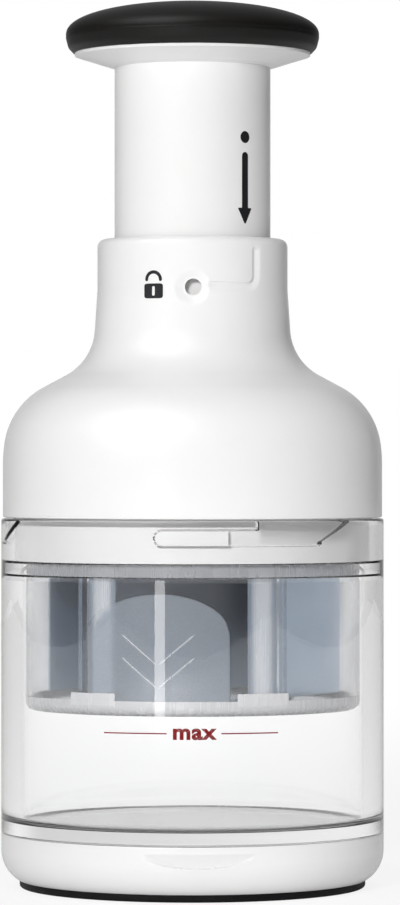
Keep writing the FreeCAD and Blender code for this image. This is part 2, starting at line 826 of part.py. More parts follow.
def make_cutter():
    """The twisted spindle with its head, the blade, and the holder that grips the blade."""
    web = S["web_height"]
    blade_top = S["blade_bottom"] + S["blade_height"]
    shoulder = SIZES["web_height"] - 1.7
    bar_bottom = SIZES["blade_bottom"] + SIZES["blade_height"] + 5.5
    bar = twisted_bar("spindle_bar", SIZES["spindle_side"], bar_bottom, shoulder)
    journal = cylinder("spindle_journal", 4.0, 6.4, z=web - 2.2)
    tap = cylinder("spindle_tap", 1.5, 12.0, z=web - 7.0)
    pin_height = blade_top + 9.5
    pin_drill = drill("spindle_pin_hole", 1.5, 30.0, pin_height, 45.0, 15.0)
    keep("spindle", cut("spindle_bored", fuse("spindle_blank", [bar, journal]), [tap, pin_drill]))
    keep("spindle_washer", turned("washer_body", ring_outline(2.1, 6.6, web + 4.2, web + 5.4)))
    keep("spindle_screw", screw("top_screw", 0.0, 0.0, web + 5.4, 1.48, 9.5, 3.4, 2.4, True))
    rail_blank = strip("rail_strip", S["blade_thickness"] + 1.7, blade_top - 4.0, 8.0, 0.0)
    rail = common("rail_round", rail_blank, cylinder("rail_limit", 36.2, 12.0, z=blade_top - 5.0))
    hub = cylinder("holder_hub", 8.6, 11.0, z=blade_top + 3.0)
    plate = cylinder("holder_plate", 24.0, 2.2, z=blade_top + 1.8)
    groove = strip("blade_groove", S["blade_thickness"] * 0.5 + 0.01, blade_top - 5.0, 5.0, 0.05)
    socket_side = SIZES["spindle_side"] + 0.02
    socket = twisted_bar("spindle_socket", socket_side, bar_bottom - 0.02, bar_bottom + 12.0)
    pin_bore = drill("holder_pin_hole", 1.5, 30.0, pin_height, 45.0, 15.0)
    blank = fuse("holder_blank", [rail, plate, hub])
    keep("blade_holder", cut("holder_cut", blank, [groove, socket, pin_bore]))
    cross_pin = drill("spindle_pin_rod", 1.49, 16.4, pin_height, 45.0, 8.2)
    keep("spindle_pin", cross_pin)
    blade = strip("blade_strip", S["blade_thickness"] * 0.5, S["blade_bottom"], S["blade_height"], 0.0)
    corners = [(number_of(x), number_of(y)) for x, y in zigzag()]
    pins = []
    drills = []
    for index in range(len(corners) - 1):
        start = VECTOR(corners[index][0], corners[index][1], 0)
        end = VECTOR(corners[index + 1][0], corners[index + 1][1], 0)
        middle = (start + end) / 2
        way = (end - start).normalize()
        square = VECTOR(-way.y, way.x, 0)
        turn = FreeCAD.Rotation(UP, BLADE_ANGLE)
        seat = turn.multVec(middle - square * 2.3)
        aim = FreeCAD.Rotation(UP, turn.multVec(square))
        for name, radius, rack in (("rivet", 0.98, pins), ("rivet_hole", 1.0, drills)):
            item = DOC.addObject("Part::Cylinder", f"{name}_{index}")
            item.Radius = radius
            item.Height = 4.6
            item.Placement = FreeCAD.Placement(seat, aim)
            bind(item, "Placement.Base.z", blade_top - 2.0)
            rack.append(item)
    keep("blade_rivets", group("rivet_set", pins))
    keep("blade", cut("blade_drilled", blade, drills))
    holder = PIECES["blade_holder"]
    keep("blade_holder", cut("holder_drilled", holder, drills))


def make_guard():
    """The frosted sleeve round the blade: its slotted floor wipes the blade on each stroke."""
    outer = S["guard_radius"]
    inner = outer - S["guard_wall"]
    bottom = S["guard_bottom"]
    flange = S["guard_flange"]
    floor = bottom + S["guard_floor"]
    sleeve = turned("sleeve_shell", [
        (0.0, bottom),
        (outer - 2.5, bottom, 2.5),
        (outer, bottom + 2.5),
        (outer, flange),
        (outer + 1.7, flange),
        (outer + 1.7, flange + 1.4),
        (inner, flange + 1.4),
        (inner, floor),
        (0.0, floor),
    ])
    ribs = []
    rib_height = flange - 8.0 - bottom
    fold_angles = (-FOLD_ANGLE, FOLD_ANGLE, 180.0 - FOLD_ANGLE, 180.0 + FOLD_ANGLE)
    for index, fold in enumerate(fold_angles):
        away = 1.0 if index % 2 else -1.0
        around = fold + BLADE_ANGLE
        for part, offset in (("empty", -3.6 * away), ("panel", 7.8 * away)):
            ribs.append(block(f"rib_{part}_{index}", 1.2, 2.6, rib_height, inner.number + 0.4,
                              bottom + 1.0, around + offset))
        ribs.append(block(f"clip_{index}", 11.4, 4.4, 4.6, inner.number + 0.2, bottom + 1.0,
                          around + 2.4 * away))
    blank = fuse("guard_blank", [sleeve] + ribs)
    slot = strip("blade_slot", S["blade_thickness"] + 0.55, bottom - 1.0, 8.0, 0.05)
    panel_middle = -8.1
    panel_side = 17.4
    panel_low = 50.5
    panel_spring = 67.4
    haunch_round = 7.5
    crown_round = 25.85
    haunch = (13.95, 6.32)
    panel_depth = 0.3
    panels = []
    for name, turn in (("front", 0.0), ("back", 180.0)):
        body = DOC.addObject("PartDesign::Body", f"{name}_grip_panel")
        sketch = new_sketch(body, f"{name}_grip_outline", "XZ_Plane", [
            (panel_middle - panel_side, panel_low),
            (panel_middle + panel_side, panel_low),
            (panel_middle + panel_side, panel_spring, haunch_round),
            (panel_middle + haunch[0], panel_spring + haunch[1], crown_round),
            (panel_middle - haunch[0], panel_spring + haunch[1], haunch_round),
            (panel_middle - panel_side, panel_spring),
        ])
        pad = body.newObject("PartDesign::Pad", f"{name}_grip_pad")
        pad.Profile = sketch
        pad.Length = 50.0
        core = cylinder(f"{name}_grip_core", outer - panel_depth, 60.0, z=40.0)
        panel = cut(f"{name}_grip", body, [core])
        panel.Placement = FreeCAD.Placement(VECTOR(0, 0, 0), FreeCAD.Rotation(UP, turn))
        panels.append(panel)
    keep("blade_guard", cut("guard_cut", blank, [slot] + panels))


def check_document():
    """Stops on a failed feature or a broken shape, and prints each sub-part's volume."""
    for item in DOC.Objects:
        states = set(item.State) & {"Invalid", "Error"}
        if states:
            raise RuntimeError(f"{item.Name} has failed: {states}")
    for node, item in PIECES.items():
        shape = item.Shape
        if shape.isNull() or not shape.isValid() or not shape.Solids:
            raise RuntimeError(f"{node} has no valid solid")
        print(f"{node}: {len(shape.Solids)} solid(s), volume {shape.Volume:.0f}")


def write_pieces():
    os.makedirs("parts", exist_ok=True)
    for node, item in PIECES.items():
        item.Shape.exportStep(os.path.join("parts", f"{node}.step"))


make_base()
make_cup()
make_housing()
make_spigot()
make_deck()
make_drive()
make_spring()
make_plunger()
make_knob()
make_cutter()
make_guard()
DOC.recompute()
check_document()
write_pieces()
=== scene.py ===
import math

import bpy
import numpy as np
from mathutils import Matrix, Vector


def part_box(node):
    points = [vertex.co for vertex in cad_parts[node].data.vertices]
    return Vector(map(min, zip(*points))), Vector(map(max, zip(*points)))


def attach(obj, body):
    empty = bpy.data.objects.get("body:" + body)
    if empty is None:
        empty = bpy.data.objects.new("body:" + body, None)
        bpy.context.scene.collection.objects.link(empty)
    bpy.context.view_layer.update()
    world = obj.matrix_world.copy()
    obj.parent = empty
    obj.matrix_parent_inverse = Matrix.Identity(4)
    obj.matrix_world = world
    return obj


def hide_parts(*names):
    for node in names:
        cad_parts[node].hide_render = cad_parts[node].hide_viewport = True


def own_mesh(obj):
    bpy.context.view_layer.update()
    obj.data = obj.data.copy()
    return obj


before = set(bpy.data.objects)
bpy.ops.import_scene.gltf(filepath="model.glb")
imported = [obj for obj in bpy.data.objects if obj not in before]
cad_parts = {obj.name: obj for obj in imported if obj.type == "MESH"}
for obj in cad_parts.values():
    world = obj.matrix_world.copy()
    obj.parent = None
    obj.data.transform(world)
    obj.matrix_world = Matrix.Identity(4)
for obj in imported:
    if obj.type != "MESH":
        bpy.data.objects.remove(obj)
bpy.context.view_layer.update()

# A press-down food chopper. Sizes in this file are millimetres and degrees unless a name
# says otherwise; angles round the axis count from the front (-Y) towards +X.

MM = 0.001
CLEAR_PLASTIC_IOR = 1.49

# columns where a turned shell needs them finer: (from, to, step)
NECK_FINE = (-16.0, 52.0, 0.55)
NOTCH_FINE = (-18.5, 22.0, 0.5)
TRACK_FINE = (-14.0, 58.0, 0.34)

# the cup's three bayonet tracks
TRACK_TURNS = (-120.0, 0.0, 120.0)

# the blade guard: its outside, the two fold channels in its front half, and its two grip
# panels: how far left of the front their middle lies, half their width, and their arch
GUARD_RADIUS = 43.6
GUARD_BOTTOM = 46.8
FOLD_CHANNELS = (-31.2, 23.7)
PANEL_LEFT = 8.1
PANEL_HALF = 17.2
PANEL_FOOT = 50.6
PANEL_SPRINGING = 67.4
PANEL_RISE = 10.2

# the sight window in the neck, and the radius of the plunger's tube
WINDOW_LEVEL = 155.9
TUBE_RADIUS = 20.4


def box_mm(node):
    """The lowest and highest corner of a CAD node, in millimetres."""
    low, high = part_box(node)
    return np.array(low) / MM, np.array(high) / MM


# SHAPES: helpers

def arc(start, end, radius, steps=8):
    """Points of the circle of that radius through start and end. A positive radius has its
    centre on the left of the way from start to end: centre = middle + left * root(r2 - half2)."""
    start = np.array(start, float)
    end = np.array(end, float)
    chord = end - start
    half = np.linalg.norm(chord) / 2
    left = np.array([-chord[1], chord[0]]) / (2 * half)
    centre = (start + end) / 2 + left * math.copysign(math.sqrt(max(radius ** 2 - half ** 2, 0.0)), radius)
    first = math.atan2(*(start - centre)[::-1])
    sweep = math.copysign(2 * math.asin(min(1.0, half / abs(radius))), radius)
    angle = first + sweep * np.linspace(0, 1, steps + 1)
    return centre + abs(radius) * np.stack([np.cos(angle), np.sin(angle)], axis=1)


def run(*corners, steps=5):
    """A line through (r, z) corners. A third number rounds its corner with an arc of that
    radius, which touches both sides at radius * tan(turn / 2) from the corner."""
    points = np.array([corner[:2] for corner in corners], float)
    out = [points[:1]]
    for index in range(1, len(corners) - 1):
        here = points[index]
        radius = corners[index][2] if len(corners[index]) > 2 else 0.0
        if radius == 0.0:
            out.append(here[None])
            continue
        back = points[index - 1] - here
        ahead = points[index + 1] - here
        back /= np.linalg.norm(back)
        ahead /= np.linalg.norm(ahead)
        turn = math.pi - math.acos(np.clip(back @ ahead, -1, 1))
        reach = radius * math.tan(turn / 2)
        side = math.copysign(radius, -(back[0] * ahead[1] - back[1] * ahead[0]))
        out.append(arc(here + back * reach, here + ahead * reach, side, steps))
    out.append(points[-1:])
    return np.vstack(out)


def around(count, *fine):
    """Angles for the columns of a turned grid, in degrees from -180: count steps all round, and
    finer steps in each stretch (from, to, step)."""
    angles = np.linspace(-180.0, 180.0, count, endpoint=False)
    for low, high, step in fine:
        angles = angles[(angles < low) | (angles > high)]
        angles = np.append(angles, np.linspace(low, high, max(2, round((high - low) / step) + 1)))
    return np.sort(angles)


def turned(profile, angles):
    """Radius, angle in radians and height on a grid: rows follow the profile, columns go round."""
    radius = np.repeat(profile[:, :1], len(angles), axis=1)
    height = np.repeat(profile[:, 1:], len(angles), axis=1)
    turn = np.repeat(np.radians(angles)[None], len(profile), axis=0)
    return radius, turn, height


def placed(radius, turn, height):
    """Points of a turned grid: x = r sin a, y = -r cos a, z = height."""
    return np.stack([radius * np.sin(turn), -radius * np.cos(turn), height], axis=-1)


def grid_quads(rows, columns, close_rows=False, close_columns=False, first=0):
    """Quads of a grid of points stored row by row. With the material on the left of a profile,
    they face out of it."""
    last_row = rows if close_rows else rows - 1
    last_column = columns if close_columns else columns - 1
    row, column = np.meshgrid(np.arange(last_row), np.arange(last_column), indexing="ij")
    below = row.ravel() * columns
    above = ((row.ravel() + 1) % rows) * columns
    left = column.ravel()
    right = (column.ravel() + 1) % columns
    return first + np.stack([below + left, below + right, above + right, above + left], axis=1)


def welded(points, quads, reach=1e-4):
    """Points that coincide become one; a quad with two neighbouring corners on one point
    becomes a triangle, and one with fewer than three corners goes."""
    keys = np.round(points / reach).astype(np.int64)
    _, first, index = np.unique(keys, axis=0, return_index=True, return_inverse=True)
    quads = index.ravel()[quads]
    twin = quads == np.roll(quads, -1, axis=1)
    twins = twin.sum(axis=1)
    threes = quads[twins == 1][~twin[twins == 1]].reshape(-1, 3)
    return points[first], quads[twins == 0], threes


def mesh_piece(name, points, quads, material, sharp=32.0):
    """A mesh object at the origin, its points given in millimetres. Faces are smooth, with an
    edge sharp where the faces beside it turn by more than the given angle."""
    points, quads, threes = welded(np.asarray(points, float).reshape(-1, 3), quads)
    mesh = bpy.data.meshes.new(name)
    mesh.vertices.add(len(points))
    mesh.vertices.foreach_set("co", (points * MM).astype(np.float32).ravel())
    corners = np.concatenate([quads.ravel(), threes.ravel()]).astype(np.int32)
    starts = np.concatenate([4 * np.arange(len(quads)), 4 * len(quads) + 3 * np.arange(len(threes))])
    mesh.loops.add(len(corners))
    mesh.loops.foreach_set("vertex_index", corners)
    mesh.polygons.add(len(starts))
    mesh.polygons.foreach_set("loop_start", starts.astype(np.int32))
    mesh.update(calc_edges=True)
    mesh.validate()
    mesh.shade_smooth()
    mesh.set_sharp_from_angle(angle=math.radians(sharp))
    mesh.materials.append(material)
    piece = bpy.data.objects.new(name, mesh)
    bpy.context.scene.collection.objects.link(piece)
    return piece


def belongs(piece, body, slot, *nodes):
    """The piece rides on a body and stands for its CAD nodes, which it hides. The slot is not used."""
    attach(piece, body)
    if nodes:
        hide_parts(*nodes)
    return piece


# FINISHES: node helpers

def new_material(name):
    """An empty node material: its tree, its output and its Principled shader."""
    material = bpy.data.materials.new(name)
    material.use_nodes = True
    tree = material.node_tree
    tree.nodes.clear()
    output = tree.nodes.new("ShaderNodeOutputMaterial")
    shader = tree.nodes.new("ShaderNodeBsdfPrincipled")
    tree.links.new(shader.outputs["BSDF"], output.inputs["Surface"])
    return material, tree, shader, output


def add(tree, kind, settings=None, **inputs):
    """A node with its settings and inputs: an input is a number, a colour or another socket."""
    made = tree.nodes.new(kind)
    for key, value in (settings or {}).items():
        setattr(made, key, value)
    for key, value in inputs.items():
        socket = made.inputs[int(key[1:])] if key[0] == "_" else made.inputs[key.replace("_", " ")]
        if isinstance(value, bpy.types.NodeSocket):
            tree.links.new(value, socket)
        else:
            socket.default_value = value
    return made


def maths(tree, operation, *values):
    """The output of a Math node on one, two or three values."""
    return add(tree, "ShaderNodeMath", {"operation": operation},
               **{f"_{index}": value for index, value in enumerate(values)}).outputs[0]


def times(tree, first, second):
    """The product of two values."""
    return maths(tree, "MULTIPLY", first, second)


def total(tree, first, *others):
    """The sum of some values."""
    for other in others:
        first = maths(tree, "ADD", first, other)
    return first


def most(tree, first, *others):
    """The largest of some values."""
    for other in others:
        first = maths(tree, "MAXIMUM", first, other)
    return first


def faded(tree, value, low, high, start=0.0, end=1.0):
    """value from low to high mapped smoothly to start..end."""
    return add(tree, "ShaderNodeMapRange", {"interpolation_type": "SMOOTHSTEP"}, Value=value,
               **{"From_Min": low, "From_Max": high, "To_Min": start, "To_Max": end}).outputs[0]


def between(tree, mask, first, second):
    """A number from first to second, by mask."""
    return add(tree, "ShaderNodeMix", {"data_type": "FLOAT"}, Factor=mask, A=first, B=second).outputs[0]


def blend_colour(tree, mask, first, second):
    """A colour from first to second, by mask. Each is (red, green, blue) or a socket."""
    ends = [end if isinstance(end, bpy.types.NodeSocket) else (*end, 1.0) for end in (first, second)]
    return add(tree, "ShaderNodeMix", {"data_type": "RGBA"}, Factor=mask, _6=ends[0], _7=ends[1]).outputs[2]


def own_place(tree):
    """The point in its object's own space, in metres."""
    return add(tree, "ShaderNodeTexCoord").outputs["Object"]


def stretched(tree, place, scale, **inputs):
    """A place scaled differently along X, Y and Z, so that a pattern on it is drawn out."""
    return add(tree, "ShaderNodeMapping", Vector=place, Scale=scale, **inputs).outputs[0]


def noise(tree, place, scale, detail, **inputs):
    """The value of a noise texture."""
    return add(tree, "ShaderNodeTexNoise", Vector=place, Scale=scale, Detail=detail, **inputs).outputs[0]


def split(tree, vector):
    """The X, Y and Z of a vector."""
    return add(tree, "ShaderNodeSeparateXYZ", Vector=vector).outputs


def off_axis(tree, parts):
    """How far a place lies from the axis."""
    flat = add(tree, "ShaderNodeCombineXYZ", X=parts["X"], Y=parts["Y"])
    return add(tree, "ShaderNodeVectorMath", {"operation": "LENGTH"}, _0=flat.outputs[0]).outputs["Value"]


def round_axis(tree, parts):
    """The angle of a place round the axis, in radians from the front."""
    return maths(tree, "ARCTAN2", parts["X"], times(tree, parts["Y"], -1.0))


def dress(tree, shader, colour, roughness, height, strength, distance):
    """Feeds a shader its colour, its roughness and a bump, whose distance is in metres."""
    tree.links.new(colour, shader.inputs["Base Color"])
    tree.links.new(roughness, shader.inputs["Roughness"])
    relief = add(tree, "ShaderNodeBump", Height=height, Strength=strength, Distance=distance)
    tree.links.new(relief.outputs[0], shader.inputs["Normal"])


def group(name, inputs, outputs):
    """A new shader group with named inputs (name: default number) and outputs (name: kind)."""
    tree = bpy.data.node_groups.new(name, "ShaderNodeTree")
    for key, value in inputs.items():
        socket = tree.interface.new_socket(name=key, in_out="INPUT", socket_type="NodeSocketFloat")
        socket.default_value = value
    for key, kind in outputs.items():
        tree.interface.new_socket(name=key, in_out="OUTPUT", socket_type=f"NodeSocket{kind}")
    return tree, tree.nodes.new("NodeGroupInput").outputs, tree.nodes.new("NodeGroupOutput").inputs


def use(tree, name, **inputs):
    """The outputs of a group placed in a material with its own values."""
    return add(tree, "ShaderNodeGroup", {"node_tree": bpy.data.node_groups[name]}, **inputs).outputs


def make_plastic_skin():
    """Group for moulded plastic: the slight waviness of a moulded face, a fine grain, faint
    handling marks that change the gloss, and soft patches for the tint."""
    tree, given, out = group("plastic_skin", {"Wave": 1.0, "Grain": 0.3, "Marks": 0.5},
                             {"Height": "Float", "Gloss": "Float", "Tint": "Float"})
    place = own_place(tree)
    wave = noise(tree, place, 140.0, 2.0, Roughness=0.4)
    grain = noise(tree, place, 2600.0, 2.0, Roughness=0.6)
    patches = noise(tree, place, 38.0, 4.0, Roughness=0.65, Distortion=0.6)
    rubbed = stretched(tree, place, (900.0, 900.0, 120.0), Rotation=(0.3, 0.5, 0.0))
    streaks = noise(tree, rubbed, 1.0, 3.0)
    height = total(tree, times(tree, wave, given["Wave"]), times(tree, grain, given["Grain"]))
    marks = total(tree, faded(tree, patches, 0.42, 0.75), times(tree, faded(tree, streaks, 0.62, 0.75), 0.5))
    tree.links.new(height, out["Height"])
    tree.links.new(times(tree, marks, given["Marks"]), out["Gloss"])
    tree.links.new(faded(tree, patches, 0.3, 0.7), out["Tint"])


def make_steel_grain():
    """Group for ground steel: fine lines drawn out along one direction, broken by larger
    patches, with a few deeper scratches across them."""
    tree, given, out = group("steel_grain", {"Along X": 60.0, "Along Y": 60.0, "Along Z": 3000.0},
                             {"Height": "Float", "Lines": "Float", "Patches": "Float"})
    place = own_place(tree)
    stretch = add(tree, "ShaderNodeCombineXYZ", X=given["Along X"], Y=given["Along Y"], Z=given["Along Z"])
    drawn = add(tree, "ShaderNodeVectorMath", {"operation": "MULTIPLY"}, _0=place, _1=stretch.outputs[0])
    lines = noise(tree, drawn.outputs[0], 1.0, 4.0, Roughness=0.7)
    patches = noise(tree, place, 70.0, 3.0)
    cuts = noise(tree, stretched(tree, place, (260.0, 260.0, 34.0), Rotation=(0.5, 0.9, 0.2)), 1.0, 1.0)
    from_cut = maths(tree, "ABSOLUTE", maths(tree, "SUBTRACT", cuts, 0.5))
    scratch = faded(tree, from_cut, 0.0, 0.006, 1.0, 0.0)
    tree.links.new(maths(tree, "SUBTRACT", lines, times(tree, scratch, 0.6)), out["Height"])
    tree.links.new(faded(tree, lines, 0.35, 0.65), out["Lines"])
    tree.links.new(faded(tree, patches, 0.35, 0.65), out["Patches"])


def make_frost_grain():
    """Group for a sand-textured surface: two sizes of small round bumps and cloudy patches."""
    tree, given, out = group("frost_grain", {"Size": 1.0}, {"Height": "Float", "Cloud": "Float", "Fleck": "Float"})
    place = own_place(tree)
    fine = maths(tree, "DIVIDE", 3400.0, given["Size"])
    coarse = maths(tree, "DIVIDE", 1500.0, given["Size"])
    small = add(tree, "ShaderNodeTexVoronoi", {"feature": "SMOOTH_F1"}, Vector=place, Scale=fine).outputs[0]
    large = noise(tree, place, coarse, 3.0, Roughness=0.7)
    cloud = noise(tree, place, 60.0, 4.0, Roughness=0.6)
    tree.links.new(total(tree, large, times(tree, small, -0.8)), out["Height"])
    tree.links.new(faded(tree, cloud, 0.3, 0.7), out["Cloud"])
    tree.links.new(faded(tree, large, 0.5, 0.72), out["Fleck"])


def plastic(name, colour, tint, roughness, rougher, wave=1.0, grain=0.3, bump=0.02, marks=0.6, **sockets):
    """Moulded plastic: its colour wanders to tint, its roughness to rougher where it was rubbed."""
    material, tree, shader, _ = new_material(name)
    skin = use(tree, "plastic_skin", Wave=wave, Grain=grain, Marks=marks)
    dress(tree, shader, blend_colour(tree, skin["Tint"], colour, tint),
          faded(tree, skin["Gloss"], 0.0, 1.0, roughness, rougher), skin["Height"], bump, 0.0004)
    for key, value in sockets.items():
        shader.inputs[key.replace("_", " ")].default_value = value
    return material


def ink(name, colour, mottled):
    """Printed ink: slightly uneven and half glossy."""
    return plastic(name, colour, mottled, 0.35, 0.5, wave=0.3, grain=0.8, bump=0.03, Specular_IOR_Level=0.25)


def steel(name, colour, tint, roughness, rougher, along, bump=0.15, metal=1.0):
    """Ground steel: lines along one direction, with a patchy colour and gloss."""
    material, tree, shader, _ = new_material(name)
    grain = use(tree, "steel_grain", Along_X=along[0], Along_Y=along[1], Along_Z=along[2])
    dress(tree, shader, blend_colour(tree, grain["Patches"], colour, tint),
          faded(tree, grain["Lines"], 0.0, 1.0, roughness, rougher), grain["Height"], bump, 0.0002)
    shader.inputs["Metallic"].default_value = metal
    return material


def see_through(tree, shader, output, clear, share):
    """Makes a shader clear, in part or all through. A share of the lamps' light, a number or a
    socket, passes it as well, where plain glass would cast a black shadow."""
    shader.inputs["Transmission Weight"].default_value = clear
    shader.inputs["IOR"].default_value = CLEAR_PLASTIC_IOR
    passed = add(tree, "ShaderNodeBsdfTransparent")
    if isinstance(share, float):
        passed.inputs["Color"].default_value = (share, share, share, 1.0)
    else:
        tree.links.new(share, passed.inputs["Color"])
    shadow = add(tree, "ShaderNodeLightPath").outputs["Is Shadow Ray"]
    mixed = add(tree, "ShaderNodeMixShader", _0=shadow, _1=shader.outputs[0], _2=passed.outputs[0])
    tree.links.new(mixed.outputs[0], output.inputs["Surface"])


def rim_share(tree):
    """How much lamp light the cup's wall passes. Less comes through the rim, the shoulder, the
    open mouths of the tracks near the rim, and the collar's flank towards +X."""
    parts = split(tree, own_place(tree))

    def at(low, high, start=0.0, end=1.0):
        """From start to end over a stretch of the height."""
        return faded(tree, parts["Z"], low * MM, high * MM, start, end)

    third = 2 * math.pi / 3
    from_track = maths(tree, "WRAP", round_axis(tree, parts), -0.3, third - 0.3)
    mouth = times(tree, faded(tree, from_track, 0.33, 0.35), faded(tree, from_track, 0.82, 0.92, 1.0, 0.0))
    under_rim = at(94.5, 94.7)
    in_mouth = times(tree, mouth, at(89.5, 94.5, 0.0, 0.6))
    shoulder = times(tree, at(81.2, 81.7), at(85.1, 85.6, 0.2, 0.0))
    flank_shade = times(tree, faded(tree, parts["X"], 0.036, 0.042, 0.0, 0.85), at(85.1, 85.8))
    within = maths(tree, "LESS_THAN", off_axis(tree, parts), 0.0496)
    lost = times(tree, most(tree, under_rim, in_mouth, shoulder, flank_shade), within)
    return faded(tree, lost, 0.0, 1.0, 1.0, 0.05)


def make_clear_plastic(name):
    """Clear moulded plastic of the cup: polished, with faint waves, wipe marks and a slight
    smoky tint."""
    material, tree, shader, output = new_material(name)
    skin = use(tree, "plastic_skin", Wave=1.0, Grain=0.02, Marks=1.0)
    dress(tree, shader, blend_colour(tree, skin["Tint"], (1.0, 1.0, 1.0), (0.99, 0.992, 0.996)),
          faded(tree, skin["Gloss"], 0.0, 1.0, 0.0, 0.012), skin["Height"], 0.012, 0.0004)
    see_through(tree, shader, output, 1.0, rim_share(tree))
    return material


def panel_mask(tree):
    """1 on the guard's two grip panels: outside radius 43, over their foot, and within the arch
    u2 + v2 < 1, where u counts across a panel from its middle and v above its springing."""
    parts = split(tree, own_place(tree))
    margin = 0.2
    half = (PANEL_HALF + margin) * MM
    rise = (PANEL_RISE + margin) * MM
    turned_x = times(tree, parts["X"], maths(tree, "SIGN", parts["Y"]))
    across = maths(tree, "MULTIPLY_ADD", turned_x, -1.0 / half, PANEL_LEFT * MM / half)
    over = maths(tree, "MULTIPLY_ADD", parts["Z"], 1.0 / rise, -PANEL_SPRINGING * MM / rise)
    above = maths(tree, "MAXIMUM", over, 0.0)
    arch = total(tree, times(tree, across, across), times(tree, above, above))
    within = times(tree, faded(tree, arch, 0.97, 1.03, 1.0, 0.0), faded(tree, parts["Z"], 0.0502, 0.0508))
    return times(tree, within, maths(tree, "GREATER_THAN", off_axis(tree, parts), 0.043))


def make_frosted_plastic(name):
    """The blade guard's plastic: bluish and nearly clear with a fine haze, and sand-textured on
    the two grip panels."""
    material, tree, shader, output = new_material(name)
    frost = use(tree, "frost_grain", Size=1.0)
    panel = panel_mask(tree)
    haze = faded(tree, frost["Cloud"], 0.0, 1.0, 0.03, 0.06)
    sand = faded(tree, frost["Fleck"], 0.0, 1.0, 0.3, 0.42)
    height = times(tree, frost["Height"], faded(tree, panel, 0.0, 1.0, 0.06, 1.0))
    dress(tree, shader, blend_colour(tree, frost["Cloud"], (0.92, 0.93, 0.945), (0.89, 0.905, 0.925)),
          between(tree, panel, haze, sand), height, 0.35, 0.00008)
    see_through(tree, shader, output, 0.985, 0.92)
    return material


def make_milky_plastic(name, light, dark, clear, bump=0.0, flank_shade=None):
    """The guard's plastic where it is thick and so milky, with faint drawn streaks. With a darker flank colour, it
    takes that towards both sides of a fold channel, 5 degrees from its middle: painted shade, which makes a flat
    strip look like a round channel, light in its middle and shaded at its sides."""
    material, tree, shader, output = new_material(name)
    place = own_place(tree)
    streaks = faded(tree, noise(tree, stretched(tree, place, (700.0, 700.0, 18.0)), 1.0, 2.0), 0.3, 0.7)
    colour = blend_colour(tree, streaks, light, dark)
    if flank_shade:
        turn = maths(tree, "WRAP", round_axis(tree, split(tree, place)), -math.pi / 2, math.pi / 2)
        away = [maths(tree, "ABSOLUTE", maths(tree, "SUBTRACT", turn, math.radians(middle)))
                for middle in FOLD_CHANNELS]
        # painted shade: darker towards both sides of each fold channel, so that the flat strip looks round
        colour = blend_colour(tree, faded(tree, maths(tree, "MINIMUM", *away), 0.028, 0.085), colour, flank_shade)
    dress(tree, shader, colour, faded(tree, streaks, 0.0, 1.0, 0.3, 0.24), streaks, bump, 0.0001)
    see_through(tree, shader, output, clear, 0.7)
    return material


def make_sanded_plastic(name):
    """The skin of the grip panels: the guard's plastic roughened by a sand-textured mould."""
    material, tree, shader, output = new_material(name)
    frost = use(tree, "frost_grain", Size=0.6)
    dress(tree, shader, blend_colour(tree, frost["Fleck"], (0.74, 0.80, 0.88), (0.97, 0.98, 1.0)),
          faded(tree, frost["Cloud"], 0.0, 1.0, 0.35, 0.45), frost["Height"], 0.7, 0.00008)
    see_through(tree, shader, output, 0.84, 0.8)
    return material


def make_finishes():
    """One material for each slot of the record."""
    make_plastic_skin()
    make_steel_grain()
    make_frost_grain()
    return {
        "white_shell": plastic("white_shell", (0.85, 0.845, 0.845), (0.84, 0.834, 0.832), 0.24, 0.36, marks=0.3),
        "soft_black": plastic("soft_black", (0.004, 0.0035, 0.003), (0.006, 0.0055, 0.005), 0.44, 0.54,
                              wave=0.4, grain=1.0, bump=0.12, Specular_IOR_Level=0.3),
        "foot_rubber": plastic("foot_rubber", (0.004, 0.004, 0.0045), (0.007, 0.007, 0.007), 0.55, 0.7,
                               wave=0.4, grain=1.0, bump=0.15, Specular_IOR_Level=0.2),
        "core_plastic": plastic("core_plastic", (0.80, 0.79, 0.78), (0.77, 0.76, 0.75), 0.35, 0.5, grain=0.6),
        "slide_plastic": plastic("slide_plastic", (0.72, 0.71, 0.67), (0.66, 0.65, 0.61), 0.3, 0.45, grain=0.5),
        "inner_plastic": plastic("inner_plastic", (0.70, 0.70, 0.70), (0.64, 0.645, 0.65), 0.35, 0.5, grain=0.8,
                                 bump=0.05),
        "clear_cup": make_clear_plastic("clear_cup"),
        "frosted_guard": make_frosted_plastic("frosted_guard"),
        "blade_steel": steel("blade_steel", (0.58, 0.69, 0.82), (0.52, 0.63, 0.76), 0.14, 0.24,
                             (60.0, 60.0, 2600.0), metal=0.66),
        "spindle_steel": steel("spindle_steel", (0.58, 0.58, 0.57), (0.50, 0.50, 0.50), 0.2, 0.34,
                               (2200.0, 2200.0, 60.0)),
        "spring_steel": steel("spring_steel", (0.46, 0.46, 0.47), (0.38, 0.38, 0.40), 0.2, 0.32,
                              (300.0, 300.0, 300.0)),
        "screw_steel": steel("screw_steel", (0.56, 0.56, 0.55), (0.47, 0.47, 0.47), 0.22, 0.36,
                             (900.0, 900.0, 900.0)),
    }


def dress_cad_nodes(finishes):
    """Every carried CAD node takes the finish of its slot."""
    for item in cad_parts.values():
        for holder in item.material_slots:
            holder.material = finishes[holder.material.name.split(".")[0]]


# PIECES: shells turned round the axis

def smooth(value, low, high):
    """0 below low, 1 above high, and the curve 3x2 - 2x3 between them."""
    share = np.clip((value - low) / (high - low), 0.0, 1.0)
    return share * share * (3.0 - 2.0 * share)


def shell_piece(name, profile, angles, material, closed=True, carve=None, sharp=32.0):
    """A turned shell. carve, if given, takes the grid's radius, angle and height and returns
    how far each point moves towards the axis."""
    radius, turn, height = turned(profile, angles)
    if carve:
        radius = radius - carve(radius, turn, height)
    quads = grid_quads(len(profile), len(angles), closed, True)
    return mesh_piece(name, placed(radius, turn, height), quads, material, sharp)


